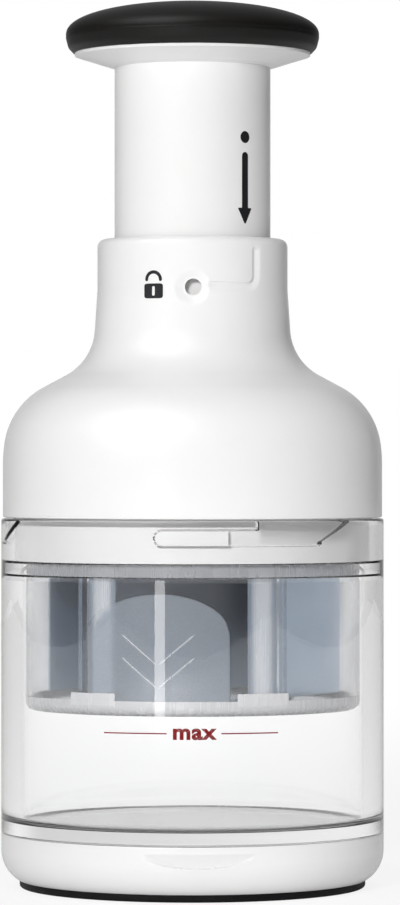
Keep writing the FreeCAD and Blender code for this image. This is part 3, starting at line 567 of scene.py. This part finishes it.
def make_knob_cover(material):
    """The soft cap: over its widest circle a crown with height = rise (1 - (r / edge)2) ^ 0.435,
    under it a round lip, and at the circle the thin parting line of its mould. Its inside
    follows the core."""
    low, high = box_mm("knob_cover")
    edge = high[0]
    top = high[2]
    bottom = low[2]
    core = box_mm("knob_core")[1][0]
    rise = 8.5
    parting = top - 8.75
    hollow = np.linspace(0.0, core - 3.5, 12)
    lean = np.linspace(0.03, math.pi / 2, 60)
    profile = np.vstack([
        np.stack([hollow, top - 2.84 - 3.0 * (hollow / hollow[-1]) ** 2], axis=1),
        [(core - 1.2, top - 6.4), (core + 0.05, top - 8.0), (core + 0.05, bottom + 0.35),
         (edge - 2.7, bottom + 0.35)],
        run((edge - 2.7, bottom + 0.35), (edge - 2.1, bottom, 0.5), (edge - 0.65, bottom + 1.5, 2.2),
            (edge, bottom + 4.0, 3.0), (edge, parting - 0.2)),
        [(edge - 0.08, parting), (edge, parting + 0.2)],
        np.stack([edge * np.cos(lean), top - rise + rise * np.sin(lean) ** 0.87], axis=1),
    ])
    piece = shell_piece("knob_cover_skin", profile, around(160), material, closed=False, sharp=50.0)
    return belongs(piece, "plunger", "soft_black", "knob_cover")


def groove_depth(turn, height, radius):
    """Depth of the mark moulded in the neck: a round dimple at the window, and a gutter that
    runs right from it and then up. Across the gutter the depth rises fast from its inner edge,
    an L with a rounded corner, and falls off slowly on the outside."""
    along = turn * radius
    from_window = np.hypot(along, height - WINDOW_LEVEL)
    dimple = 0.85 * (1.0 - smooth(from_window, 2.3, 5.0))
    corner = 1.4
    upright = 16.75
    level = 157.4
    right = along - upright + corner
    below = level - height + corner
    outside = np.hypot(np.maximum(right, 0), np.maximum(below, 0)) + np.minimum(np.maximum(right, below), 0) - corner
    gutter = 0.55 * smooth(outside, 0.0, 0.4) * (1.0 - smooth(outside, 0.9, 2.9))
    gutter = gutter * (1.0 - smooth(height, 165.3, 166.6)) * smooth(along, 3.0, 6.0)
    return np.maximum(dimple, gutter)


def cut_through(piece, low, high, radius):
    """A round hole through a shell along Y, from low to high (x, y, z), by an exact boolean."""
    count = 48
    turn = np.linspace(0, 2 * math.pi, count, endpoint=False)
    ring = np.stack([low[0] + radius * np.cos(turn), np.zeros(count), low[2] + radius * np.sin(turn)], axis=1)
    points = np.vstack([ring + (0, low[1], 0), ring + (0, high[1], 0)])
    mesh = bpy.data.meshes.new("cutter")
    step = np.arange(count)
    sides = np.stack([step, step + count, (step + 1) % count + count, (step + 1) % count], axis=1)
    mesh.from_pydata((points * MM).tolist(), [], sides.tolist() + [step.tolist(), (step[::-1] + count).tolist()])
    mesh.update()
    cutter = bpy.data.objects.new("cutter", mesh)
    bpy.context.scene.collection.objects.link(cutter)
    tool = piece.modifiers.new("hole", "BOOLEAN")
    tool.operation = "DIFFERENCE"
    tool.solver = "EXACT"
    tool.object = cutter
    bpy.context.view_layer.update()
    made = bpy.data.meshes.new_from_object(piece.evaluated_get(bpy.context.evaluated_depsgraph_get()))
    piece.modifiers.clear()
    piece.data = made
    made.name = piece.name
    made.shade_smooth()
    made.set_sharp_from_angle(angle=math.radians(32.0))
    bpy.data.objects.remove(cutter)


def make_housing(material):
    """The white bell and neck, one wall thick, with the moulded mark on the neck and the
    round window through it."""
    low, high = box_mm("housing_shell")
    bell = high[0]
    bottom = low[2]
    top = high[2]
    wall = 2.4
    neck = 24.87
    bore = 20.85
    start = bottom + 13.6
    upper = np.array((bell - 0.36, start + 5.54))
    crown = np.array((bell - 10.55, start + 20.29))
    waist = np.array((bell - 16.45, start + 23.46))
    flare = np.array((neck + 0.71, start + 35.2))
    mark_low = start + 40.0
    height = np.arange(mark_low, top - 2.0, 0.24)
    taper = np.interp(height, [flare[1], start + 45.9], [flare[0], neck])
    outside = np.vstack([
        run((bell - 0.9, bottom), (bell, bottom, 0.45), (bell, start - 5.0)),
        arc((bell, start), upper, 42.5, 5),
        arc(upper, crown, 19.7, 18)[1:],
        arc(waist, flare, -14.4, 16),
        np.stack([taper, height], axis=1),
        arc((neck, top - 2.0), (neck - 2.0, top), 2.0, 7),
    ])
    inside = np.vstack([
        run((bore + 0.3, top), (bore, top, 0.3), (bore, top - 3.1), (neck - wall, top - 3.1),
            (neck - wall, start + 45.9)),
        arc(flare - (wall, wall * 0.067), waist - (wall * 0.474, wall * 0.881), 14.4 + wall, 10),
        arc(crown - (wall * 0.474, wall * 0.881), upper - (wall * 0.991, wall * 0.131), -(19.7 - wall), 12),
        arc(upper - (wall * 0.991, wall * 0.131), (bell - wall, start), -(42.5 - wall), 3)[1:],
        [(bell - wall, bottom)],
    ])

    def carve(radius, turn, level):
        marked = (radius > neck - 1.0) & (level > mark_low - 1.0)
        return np.where(marked, groove_depth(turn, level, neck), 0.0)

    piece = shell_piece("bell_and_neck", np.vstack([outside, inside]), around(150, NECK_FINE), material,
                        carve=carve)
    cut_through(piece, (0.2, -30.0, WINDOW_LEVEL), (0.2, -20.5, WINDOW_LEVEL), 2.125)
    return belongs(piece, "head", "white_shell", "housing_shell")


def track_distance(turn, height, bore):
    """How far a point of the collar's bore lies outside the bayonet tracks, negative inside:
    the least over three tracks of a level seat, round at its closed end, and a mouth that
    opens to the rim with one slanted side."""
    closed, mouth, knee, rim = (math.radians(degrees) * bore for degrees in (-11.5, 19.6, 41.9, 56.3))
    roof = 93.9
    ground = 89.85
    half = 2.09
    centre = roof - half
    knee_level = 90.7
    slope = np.array((rim - knee, 96.2 - knee_level))
    slope = slope / np.linalg.norm(slope)
    best = np.full(turn.shape, 1e3)
    angle = np.degrees(turn)
    for middle in TRACK_TURNS:
        along = np.radians((angle - middle + 180.0) % 360.0 - 180.0) * bore
        level = np.maximum(np.maximum(height - roof, ground - height), along - knee)
        end = np.hypot(np.minimum(along - closed - half, 0.0), height - centre) - half
        seat = np.where(along < closed + half, end, level)
        beyond = (along - knee) * slope[1] - (height - knee_level) * slope[0]
        entry = np.maximum(np.maximum(mouth - along, ground - height), beyond)
        best = np.minimum(best, np.minimum(seat, entry))
    return best


def make_cup(material):
    """The clear cup: heavy wall, two steps up to the collar with three bayonet tracks in its
    bore, and the skirt that the base cover snaps on."""
    low, high = box_mm("cup")
    radius = high[0]
    rim = high[2]
    seam = 14.4
    floor = 17.5
    lower_step = 81.7
    shoulder = 85.1
    bore = 44.5
    ledge = 45.5
    collar = 46.6
    stretches = ((rim - 0.55, 94.2, 0.18), (94.2, 93.6, 0.06), (93.6, 90.1, 0.18), (90.1, 89.4, 0.06),
                 (89.3, shoulder + 0.6, 1.0))
    height = np.concatenate([np.arange(start, end, -step) for start, end, step in stretches])
    profile = np.vstack([
        run((0.0, seam + 0.3), (43.4, seam + 0.3), (43.4, low[2]), (46.9, low[2]), (46.9, seam),
            (radius, seam, 0.25), (radius, seam + 4.0)),
        np.stack([np.full(9, radius), np.linspace(seam + 8.0, rim - 6.0, 9)], axis=1),
        run((radius, rim - 2.0), (radius, rim, 0.6), (collar, rim, 0.5), (collar, rim - 0.52)),
        np.stack([np.full(len(height), collar), height], axis=1),
        run((collar, shoulder + 0.5), (collar, shoulder, 0.3), (ledge, shoulder, 0.35),
            (ledge, lower_step, 0.3), (bore, lower_step, 0.35), (bore, lower_step - 1.5)),
        np.stack([np.full(7, bore), np.linspace(lower_step - 6.0, floor + 5.0, 7)], axis=1),
        run((bore, floor + 3.0), (bore, floor, 2.0), (bore - 3.0, floor), steps=10),
        [(30.0, floor), (15.0, floor), (0.0, floor)],
    ])

    def carve(grid_radius, turn, level):
        in_bore = (np.abs(grid_radius - collar) < 0.3) & (level > shoulder + 0.7)
        edge = 0.22
        depth = 2.3 * (1.0 - smooth(track_distance(turn, level, collar), -edge, edge))
        return np.where(in_bore, -depth, 0.0)

    fine = [(turn + TRACK_FINE[0], turn + TRACK_FINE[1], TRACK_FINE[2]) for turn in TRACK_TURNS if turn < 100.0]
    fine += [(120.0 + TRACK_FINE[0], 178.0, TRACK_FINE[2])]
    piece = shell_piece("clear_cup_wall", profile, around(150, *fine), material, closed=False, carve=carve,
                        sharp=40.0)
    return belongs(piece, "cup", "clear_cup", "cup")


def make_base_cover(material):
    """The white cover under the cup, with a thumb notch in its front: the lower half of an
    ellipse, whose back is a cone that leans inwards from the level lip down."""
    low, high = box_mm("base_cover")
    radius = high[0]
    rim = high[2]
    lip = rim - 1.8
    foot = 45.5
    inner = radius - 2.7
    floor = low[2] + 3.4
    band = np.linspace(lip - 4.2, lip, 30)
    curve = arc((foot, low[2]), (radius, low[2] + 7.6), 9.0, 14)
    lower = curve[curve[:, 1] < band[0] - 0.1]
    band_radius = np.interp(band, curve[:, 1], curve[:, 0])
    profile = np.vstack([
        run((0.0, low[2] + 0.6), (39.6, low[2] + 0.6), (39.6, low[2] + 1.6), (43.4, low[2] + 1.6), (43.4, low[2]),
            (foot, low[2])),
        lower[1:],
        np.stack([band_radius, band], axis=1),
        [(radius, lip + 0.02)],
        run((radius, lip + 0.1), (radius, rim, 0.3), (inner, rim, 0.2), (inner, floor), (0.0, floor)),
    ])

    def carve(grid_radius, turn, level):
        across = np.sin(turn) * radius - 1.6
        tall = 3.8
        inside = 1.0 - (across / 14.4) ** 2 - ((lip - level) / tall) ** 2
        back = radius - (lip - level) * 1.75 / tall
        wall = radius - 0.35 - 9.0 * np.sqrt(np.clip(inside, 0.0, 1.0))
        depth = (grid_radius - np.maximum(back, wall)) * smooth(inside, 0.0, 0.14)
        in_notch = (level <= lip + 0.001) & (inside > 0) & (np.cos(turn) > 0.8) & (level > low[2] + 2.5)
        return np.where(in_notch & (grid_radius > foot), np.maximum(depth, 0.0), 0.0)

    piece = shell_piece("base_cover_shell", profile, around(150, NOTCH_FINE), material, closed=False, carve=carve)
    return belongs(piece, "base", "white_shell", "base_cover")


def make_foot_ring(material):
    """The black ring under the base, with its tongue in the cover's groove."""
    low, high = box_mm("foot_ring")
    edge = high[0]
    ground = low[2]
    profile = run((37.5, ground + 1.0), (37.5, ground, 0.4), (edge, ground, 0.7), (edge, ground + 2.0, 0.2),
                  (43.2, ground + 2.0), (43.2, high[2]), (39.8, high[2]), (39.8, ground + 2.6),
                  (37.5, ground + 2.6), (37.5, ground + 1.1))
    piece = shell_piece("foot_ring_rubber", profile, around(160), material)
    return belongs(piece, "base", "foot_rubber", "foot_ring")


def make_spring(material):
    """The return spring: a wire carried along a helix whose first and last turn lie close. The
    wire's ring is set square to the way the helix runs."""
    low, high = box_mm("return_spring")
    wire = 1.6
    mean = high[0] - wire / 2
    turns = 11.0
    close = wire + 0.5
    count = int(turns * 40)
    along = np.linspace(0.0, turns, count + 1)
    bottom = low[2] + wire / 2
    height = high[2] - low[2] - wire
    middle = close + (height - 2 * close) / (turns - 2) * (along - 1.0)
    last = np.where(along > turns - 1.0, height - close * (turns - along), middle)
    rise = np.where(along < 1.0, close * along, last)
    turn = 2 * math.pi * along
    centre = np.stack([mean * np.cos(turn), mean * np.sin(turn), bottom + rise], axis=1)
    ahead = np.gradient(centre, axis=0)
    ahead /= np.linalg.norm(ahead, axis=1, keepdims=True)
    outward = np.stack([np.cos(turn), np.sin(turn), np.zeros_like(turn)], axis=1)
    upward = np.cross(ahead, outward)
    sides = 14
    ring = 2 * math.pi * np.arange(sides) / sides
    points = (centre[:, None] + wire / 2 * (np.cos(ring)[None, :, None] * outward[:, None]
                                            + np.sin(ring)[None, :, None] * upward[:, None]))
    ends = np.repeat(centre[[0, -1]][:, None], sides, axis=1)
    points = np.concatenate([ends[:1], points, ends[1:]], axis=0)
    quads = grid_quads(count + 3, sides, False, True)
    piece = mesh_piece("return_spring_wire", points, quads[:, ::-1], material, sharp=50.0)
    belongs(piece, "head", "spring_steel", "return_spring")
    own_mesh(piece)
    return piece


# PIECES: marks printed or raised on the shells

def wrapped(across, height, radius, lift):
    """Points of a mark wrapped on a cylinder: angle = distance round / radius, lifted off it."""
    return placed(radius + lift + 0 * across, across / radius, height)


def printed(name, across, height, radius, material, body, slot, lift=0.012):
    """A printed mark: a grid of points given by its distance round the shell and its height."""
    points = wrapped(across, height, radius, lift).reshape(-1, 3)
    quads = grid_quads(*across.shape)
    edge = points[quads[:, 1]] - points[quads[:, 0]]
    rise = points[quads[:, 3]] - points[quads[:, 0]]
    out = np.cross(edge, rise)
    facing = (out * points[quads[:, 0]] * (1, 1, 0)).sum(axis=1).sum()
    if facing < 0:
        quads = quads[:, ::-1]
    return belongs(mesh_piece(name, points, quads, material), body, slot)


def make_dot_and_arrow(material):
    """The dot and the arrow on the plunger. The arrow is a strip whose half width follows its
    height: round at the top, even down the shaft, then a head with straight sides that narrows
    to a small round tip."""
    radius = TUBE_RADIUS
    middle = math.radians(41.8) * radius
    turn = np.linspace(0, 2 * math.pi, 49)
    reach = np.linspace(0, 1.55, 4)[:, None]
    printed("dot_print", middle + reach * np.sin(turn), 194.9 + reach * np.cos(turn), radius, material,
            "plunger", "white_shell")
    half = 1.05
    cap = np.linspace(0, math.pi / 2, 7)
    side = np.linspace(0, 1, 14)
    tip = np.linspace(0.3, math.pi / 2, 5)
    height = np.concatenate([191.05 - half + half * np.cos(cap), [180.0, 176.6, 176.6], 176.4 - 3.6 * side,
                             172.9 - 0.35 * np.sin(tip)])
    width = np.concatenate([half * np.sin(cap), [half, half, 2.15], 2.3 - 1.95 * side, 0.35 * np.cos(tip)])
    share = np.linspace(-1, 1, 7)[None]
    printed("arrow_print", middle + width[:, None] * share, np.repeat(height[:, None], 7, axis=1), radius,
            material, "plunger", "white_shell")


def neck_radius(height):
    """The neck's radius, which tapers up to the window and is even above it."""
    return np.interp(height, [145.3, 156.0], [25.58, 24.87])


def squared_ring(half_width, half_height, power):
    """An upright outline between an ellipse (power 1) and a rectangle (power 0): x and z are
    the ellipse's sine and cosine raised to that power, signs kept."""
    turn = np.linspace(0, 2 * math.pi, 65)
    return [half * np.sign(wave) * np.abs(wave) ** power
            for half, wave in ((half_width, np.cos(turn)), (half_height, np.sin(turn)))]


def make_padlock(material):
    """The open padlock printed on the neck: a body with rounded corners round a keyhole slot,
    ruled between the two outlines, and a bow carried along a half circle with round ends."""
    middle = -10.28
    level = 154.88
    body_x, body_z = squared_ring(2.63, 1.92, 0.28)
    slot_x, slot_z = squared_ring(0.38, 1.2, 0.45)
    share = np.linspace(0, 1, 5)[:, None]
    height = level + slot_z + share * (body_z - slot_z)
    printed("padlock_body_print", middle + slot_x + share * (body_x - slot_x), height, neck_radius(height),
            material, "head", "white_shell")
    bow = 1.93
    crown = 157.81
    half = 0.43
    bend = np.linspace(0, math.pi, 25)
    cap = np.linspace(0, math.pi / 2, 6)[:-1]
    line_x = np.concatenate([np.full(5, bow), bow * np.cos(bend), np.full(5, -bow)])
    line_z = crown + np.concatenate([-half * np.cos(cap), bow * np.sin(bend), -half * np.cos(cap[::-1])])
    width = np.concatenate([half * np.sin(cap), np.full(25, half), half * np.sin(cap[::-1])])
    out_x = np.concatenate([np.ones(5), np.cos(bend), -np.ones(5)])
    out_z = np.concatenate([np.zeros(5), np.sin(bend), np.zeros(5)])
    side = np.linspace(-1, 1, 4)[:, None] * width
    height = line_z + side * out_z
    printed("padlock_bow_print", middle + line_x + side * out_x, height, neck_radius(height), material,
            "head", "white_shell")


def make_fill_mark(material):
    """The fill line printed on the cup: two strips with the word between them."""
    radius = 50.0
    level = 42.9
    for name, left, right in (("left", -22.2, -6.4), ("right", 7.3, 21.6)):
        ends = [math.asin(end / radius) * radius for end in (left, right)]
        across = np.repeat(np.linspace(*ends, 24)[None], 2, axis=0)
        height = level + np.array([[-0.16], [0.16]]) + 0 * across
        printed(f"fill_line_{name}_print", across, height, radius, material, "cup", "clear_cup")
    words = bpy.data.curves.new("fill_word", "FONT")
    words.body = "max"
    words.align_x = "CENTER"
    words.align_y = "BOTTOM_BASELINE"
    words.size = 5.4
    words.space_character = 1.08
    words.offset = 0.2
    words.resolution_u = 6
    holder = bpy.data.objects.new("fill_word", words)
    bpy.context.scene.collection.objects.link(holder)
    bpy.context.view_layer.update()
    mesh = bpy.data.meshes.new_from_object(holder.evaluated_get(bpy.context.evaluated_depsgraph_get()))
    bpy.data.objects.remove(holder)
    flat = np.zeros(len(mesh.vertices) * 3)
    mesh.vertices.foreach_get("co", flat)
    flat = flat.reshape(-1, 3)
    points = wrapped(0.4 + flat[:, 0] * 1.12, level - 1.35 + flat[:, 1], radius, 0.004)
    mesh.vertices.foreach_set("co", (points * MM).ravel())
    mesh.name = "fill_word_print"
    mesh.materials.clear()
    mesh.materials.append(material)
    mesh.update()
    piece = bpy.data.objects.new("fill_word_print", mesh)
    bpy.context.scene.collection.objects.link(piece)
    belongs(piece, "cup", "clear_cup")


def skin_patch(name, turn, low, high, outer, inner, material, rows=12):
    """A thin closed patch that follows a cylinder: turn, low and high are its angle and its two
    heights along its width, and its rows are ruled from low to high."""
    columns = len(turn)
    share = np.linspace(0, 1, rows)[:, None]
    height = low + share * (high - low) + 0 * turn
    faces = [placed(reach + 0 * height, turn + 0 * height, height) for reach in (outer, inner)]
    half = rows * columns
    front = grid_quads(rows, columns)
    back = grid_quads(rows, columns, first=half)[:, ::-1]
    rim = np.concatenate([np.arange(columns), columns - 1 + columns * np.arange(1, rows),
                          half - 1 - np.arange(1, columns), columns * np.arange(rows - 2, 0, -1)])
    after = np.roll(rim, -1)
    edge = np.stack([rim, rim + half, after + half, after], axis=1)
    piece = mesh_piece(name, np.stack(faces), np.vstack([front, back, edge]), material)
    return belongs(piece, "guard", "frosted_guard")


def make_channels(material):
    """The four milky channels in which the guard holds the blade's folds: curved strips on the
    inside of its wall, from the floor up to the flange."""
    side = np.linspace(-5.1, 5.1, 15)
    for index, middle in enumerate([turn + half for half in (0.0, 180.0) for turn in FOLD_CHANNELS]):
        skin_patch(f"fold_channel_{index + 1}", np.radians(middle + side), 49.5, 97.5, 41.97, 41.72, material)


def make_grips(material):
    """The sand-textured skin in the guard's two grip panels, up to an arch: height = springing
    + rise root(1 - u2), u from -1 to 1 across it."""
    outer = GUARD_RADIUS - 0.04
    share = np.linspace(-1, 1, 41)
    across = (PANEL_HALF * share - PANEL_LEFT) / (GUARD_RADIUS - 0.1)
    crest = PANEL_SPRINGING + PANEL_RISE * np.sqrt(1 - share ** 2)
    for side, turn in (("front", 0.0), ("back", math.pi)):
        skin_patch(f"grip_skin_{side}", turn + across, PANEL_FOOT, crest, outer, outer - 0.24, material, 16)


def make_lower_skins(corner, clip, rib):
    """The milky skins of the guard's solid parts, each of its own material: its rounded lower
    corner, the rib round it under the spigot, and the clips beside the blade's folds."""
    bend = 2.5
    middle = (GUARD_RADIUS - bend, GUARD_BOTTOM + bend)
    profile = np.vstack([
        arc((middle[0], middle[1] - bend - 0.06), (middle[0] + bend + 0.06, middle[1]), bend + 0.06, 8),
        [(middle[0] + bend + 0.06, PANEL_FOOT), (middle[0] + bend + 0.01, PANEL_FOOT)],
        arc((middle[0] + bend + 0.01, middle[1]), (middle[0], middle[1] - bend - 0.01), -bend - 0.01, 8),
    ])
    belongs(shell_piece("guard_corner_skin", profile, around(150), corner), "guard", "frosted_guard")
    inner, outer = GUARD_RADIUS + 0.01, GUARD_RADIUS + 0.07
    profile = np.array([(inner, 81.4), (outer, 81.4), (outer, 84.9), (inner, 84.9)])
    belongs(shell_piece("guard_rib_skin", profile, around(150), rib), "guard", "frosted_guard")
    outer = GUARD_RADIUS + 0.13
    front = ((-42.3, -25.5), (14.6, 32.3))
    for index, (left, right) in enumerate(front + tuple((left + 180.0, right + 180.0) for left, right in front)):
        turn = np.radians(np.linspace(left, right, 18))
        skin_patch(f"clip_skin_{index + 1}", turn, 49.4, 52.5, outer, outer - 0.05, clip, 4)


def make_chevrons(material):
    """Two raised V lines on each grip panel of the guard: a low round ridge carried along two
    straight runs."""
    middle = -8.5
    wide = 8.8
    tall = 7.6
    share = np.linspace(0, 1, 20)
    ring = np.linspace(0, math.pi, 7)
    taper = 0.24 * np.minimum(1.0, np.minimum(share, 1 - share) * 14 + 0.1)[:, None]
    offset = taper * np.cos(ring)[None]
    lift = 0.2 * np.sin(ring)[None] * np.minimum(1.0, taper * 4)
    for side, turn in (("front", 0.0), ("back", math.pi)):
        for index, level in enumerate((59.9, 54.1)):
            for hand, reach in (("left", -1.0), ("right", 1.0)):
                across = middle + reach * (0.3 + wide * share)
                height = level + tall * share
                slope = np.array((tall, -wide * reach)) / math.hypot(tall, wide)
                grid_across = across[:, None] + offset * slope[0]
                grid_height = height[:, None] + offset * slope[1]
                points = placed(GUARD_RADIUS - 0.05 + lift, grid_across / GUARD_RADIUS + turn, grid_height)
                quads = grid_quads(*grid_across.shape)
                if reach > 0:
                    quads = quads[:, ::-1]
                piece = mesh_piece(f"{side}_chevron_{hand}_{index + 1}", points, quads, material, sharp=60.0)
                belongs(piece, "guard", "frosted_guard")


def make_pieces(finishes):
    """Every piece that stands for a CAD node or is printed on one."""
    make_knob_cover(finishes["soft_black"])
    make_housing(finishes["white_shell"])
    make_cup(finishes["clear_cup"])
    make_base_cover(finishes["white_shell"])
    make_foot_ring(finishes["foot_rubber"])
    make_spring(finishes["spring_steel"])
    black = ink("black_ink", (0.012, 0.012, 0.014), (0.02, 0.02, 0.022))
    red = ink("red_ink", (0.24, 0.008, 0.01), (0.2, 0.007, 0.009))
    make_dot_and_arrow(black)
    make_padlock(black)
    make_fill_mark(red)
    # the raised lines are whiter than the clear guard they stand on: painted highlight, for the light that the
    # ridges catch
    make_chevrons(make_milky_plastic("raised_line_painted_highlight", (0.88, 0.90, 0.94), (0.82, 0.85, 0.9), 0.5))
    # the channels' darker flanks are painted shade, so that the flat strips look like round, lit channels
    make_channels(make_milky_plastic("milky_channel", (0.97, 0.98, 1.0), (0.86, 0.89, 0.93), 0.25,
                                     bump=0.04, flank_shade=(0.36, 0.42, 0.50)))
    make_lower_skins(make_milky_plastic("milky_corner", (0.66, 0.665, 0.68), (0.64, 0.645, 0.66), 0.12),
                     make_milky_plastic("milky_clip", (0.76, 0.765, 0.78), (0.73, 0.735, 0.75), 0.2),
                     make_milky_plastic("milky_rib", (0.74, 0.75, 0.78), (0.70, 0.71, 0.74), 0.62))
    make_grips(make_sanded_plastic("sanded_grip"))


# STAGE: camera, floor, world and lamps

MIDDLE = 120.0          # the height of the object's middle, at which the lamps are aimed


def make_camera():
    """A level camera 1.17 m from the axis, slightly to the right of it."""
    sight = bpy.data.cameras.new("camera")
    sight.sensor_fit = "VERTICAL"
    sight.sensor_height = 36.0
    sight.lens = 177.8
    sight.clip_start = 0.05
    sight.clip_end = 20.0
    camera = bpy.data.objects.new("camera", sight)
    camera.location = (1.96 * MM, -1170.0 * MM, 113.4 * MM)
    camera.rotation_euler = (math.radians(90.0), 0.0, 0.0)
    bpy.context.scene.collection.objects.link(camera)
    bpy.context.scene.camera = camera


def seen_directly(tree):
    """1 for what the camera sees, also through clear pieces, and 0 for any reflected ray."""
    seen = add(tree, "ShaderNodeLightPath").outputs
    reflections = maths(tree, "SUBTRACT", seen["Ray Depth"], seen["Transmission Depth"])
    through = times(tree, seen["Is Transmission Ray"], maths(tree, "LESS_THAN", reflections, 0.5))
    return most(tree, seen["Is Camera Ray"], through)


def make_floor():
    """A pale floor. To the camera it is mostly plain white, wholly so far off, which keeps the
    shadow pale; to other rays it is a lit floor, with some plain white within clear pieces."""
    points = [[-1500, -1400, 0], [1500, -1400, 0], [1500, 1800, 0], [-1500, 1800, 0]]
    material, tree, shader, output = new_material("floor")
    place = own_place(tree)
    mottle = noise(tree, place, 14.0, 3.0)
    tree.links.new(blend_colour(tree, mottle, (0.86, 0.86, 0.86), (0.84, 0.84, 0.84)), shader.inputs["Base Color"])
    shader.inputs["Roughness"].default_value = 0.8
    light = add(tree, "ShaderNodeEmission", Color=(1.0, 1.0, 1.0, 1.0), Strength=1.0)
    away = off_axis(tree, split(tree, place))
    plain = faded(tree, away, 0.2, 0.9, 0.84, 1.0)
    clear = add(tree, "ShaderNodeLightPath").outputs["Is Transmission Ray"]
    inside = faded(tree, clear, 0.0, 1.0, 0.05, 0.6)
    share = between(tree, seen_directly(tree), inside, plain)
    mixed = add(tree, "ShaderNodeMixShader", _0=share, _1=shader.outputs[0], _2=light.outputs[0])
    tree.links.new(mixed.outputs[0], output.inputs["Surface"])
    floor = mesh_piece("floor", points, np.array([[0, 1, 2, 3]]), material)


def make_world():
    """A studio that is plain white to the camera, also through clear pieces. All other rays see
    a dim room, darker to the right and pale above. A diffuse surface is lit by a pale wall at
    the back. Gloss sees the middle of that wall, and a soft window up on the left in front.
    Rays that were bent or reflected within clear pieces see walls at the back, at the left in
    front and, before any diffuse surface, on the right."""
    world = bpy.data.worlds.new("studio")
    bpy.context.scene.world = world
    world.use_nodes = True
    tree = world.node_tree
    tree.nodes.clear()
    way = add(tree, "ShaderNodeTexCoord").outputs["Generated"]
    parts = split(tree, way)
    seen = add(tree, "ShaderNodeLightPath").outputs
    clear = seen["Is Transmission Ray"]
    glossy = times(tree, seen["Is Glossy Ray"], maths(tree, "SUBTRACT", 1.0, clear))
    room = times(tree, faded(tree, parts["X"], -0.9, 0.5, 0.27, 0.03), faded(tree, glossy, 0.0, 1.0, 1.0, 0.35))
    above = faded(tree, parts["Z"], 0.0, 1.0, 0.0, 0.3)
    back = times(tree, faded(tree, parts["Y"], 0.15, 0.8, 0.0, 0.42), seen["Is Diffuse Ray"])
    glossy_back = times(tree, faded(tree, parts["Y"], 0.8, 1.0, 0.0, 0.5), glossy)
    clear_back = faded(tree, parts["Y"], 0.1, 0.6, 0.0, 0.66)
    clear_front = times(tree, faded(tree, parts["Y"], -0.8, -0.2, 0.42, 0.0),
                        faded(tree, parts["X"], 0.2, 0.6, 1.0, 0.0))
    clear_right = times(tree, faded(tree, parts["X"], 0.6, 0.85, 0.0, 0.35),
                        maths(tree, "LESS_THAN", seen["Diffuse Depth"], 0.5))
    walls = most(tree, back, glossy_back, times(tree, total(tree, clear_front, clear_back, clear_right), clear))
    towards_window = add(tree, "ShaderNodeVectorMath", {"operation": "DOT_PRODUCT"}, _0=way,
                         _1=(-0.461, -0.612, 0.643)).outputs["Value"]
    window = times(tree, faded(tree, towards_window, 0.78, 1.0, 0.0, 3.0), glossy)
    strength = between(tree, seen_directly(tree), total(tree, room, walls, above, window), 1.0)
    background = add(tree, "ShaderNodeBackground", Color=(1.0, 1.0, 1.0, 1.0), Strength=strength)
    add(tree, "ShaderNodeOutputWorld", Surface=background.outputs[0])


def lamp(name, place, target, width, height, radiance, only_seen=False):
    """A soft rectangular lamp that faces a target, its power given by radiance * pi * area. It
    lights the object, or is only seen in gloss."""
    light = bpy.data.lights.new(name, "AREA")
    light.shape = "RECTANGLE"
    light.size = width * MM
    light.size_y = height * MM
    light.energy = radiance * math.pi * light.size * light.size_y
    holder = bpy.data.objects.new(name, light)
    holder.location = Vector(place) * MM
    holder.rotation_euler = (Vector(target) - Vector(place)).to_track_quat("-Z", "Y").to_euler()
    holder.visible_camera = False
    holder.visible_diffuse = not only_seen
    holder.visible_glossy = only_seen
    holder.visible_transmission = False
    bpy.context.scene.collection.objects.link(holder)


def towards(azimuth, elevation, distance):
    """A place at a distance from the object's middle, azimuth counted from the front to +X."""
    turn = math.radians(azimuth)
    lift = math.radians(elevation)
    level = distance * math.cos(lift)
    return (level * math.sin(turn), -level * math.cos(turn), MIDDLE + distance * math.sin(lift))


def make_lamps():
    """A key on the left above the camera, a weak top, a low fill close by on the right, and a
    strip low on the left that is only seen as a gleam."""
    middle = (0.0, 0.0, MIDDLE)
    lamp("key", towards(-14.0, 15.0, 1200.0), middle, 200.0, 200.0, 73.0)
    lamp("top", towards(60.0, 72.0, 1100.0), middle, 700.0, 700.0, 1.3)
    lamp("fill", (105.0, -125.0, 8.0), (0.0, 0.0, 40.0), 60.0, 16.0, 6.5)
    lamp("strip", (-229.0, -682.0, 32.0), (0.0, 0.0, 60.0), 75.0, 60.0, 7.5, only_seen=True)


scene = bpy.context.scene
scene.view_settings.view_transform = "Standard"
make_camera()
finishes = make_finishes()
dress_cad_nodes(finishes)
make_pieces(finishes)
make_floor()
make_world()
make_lamps()
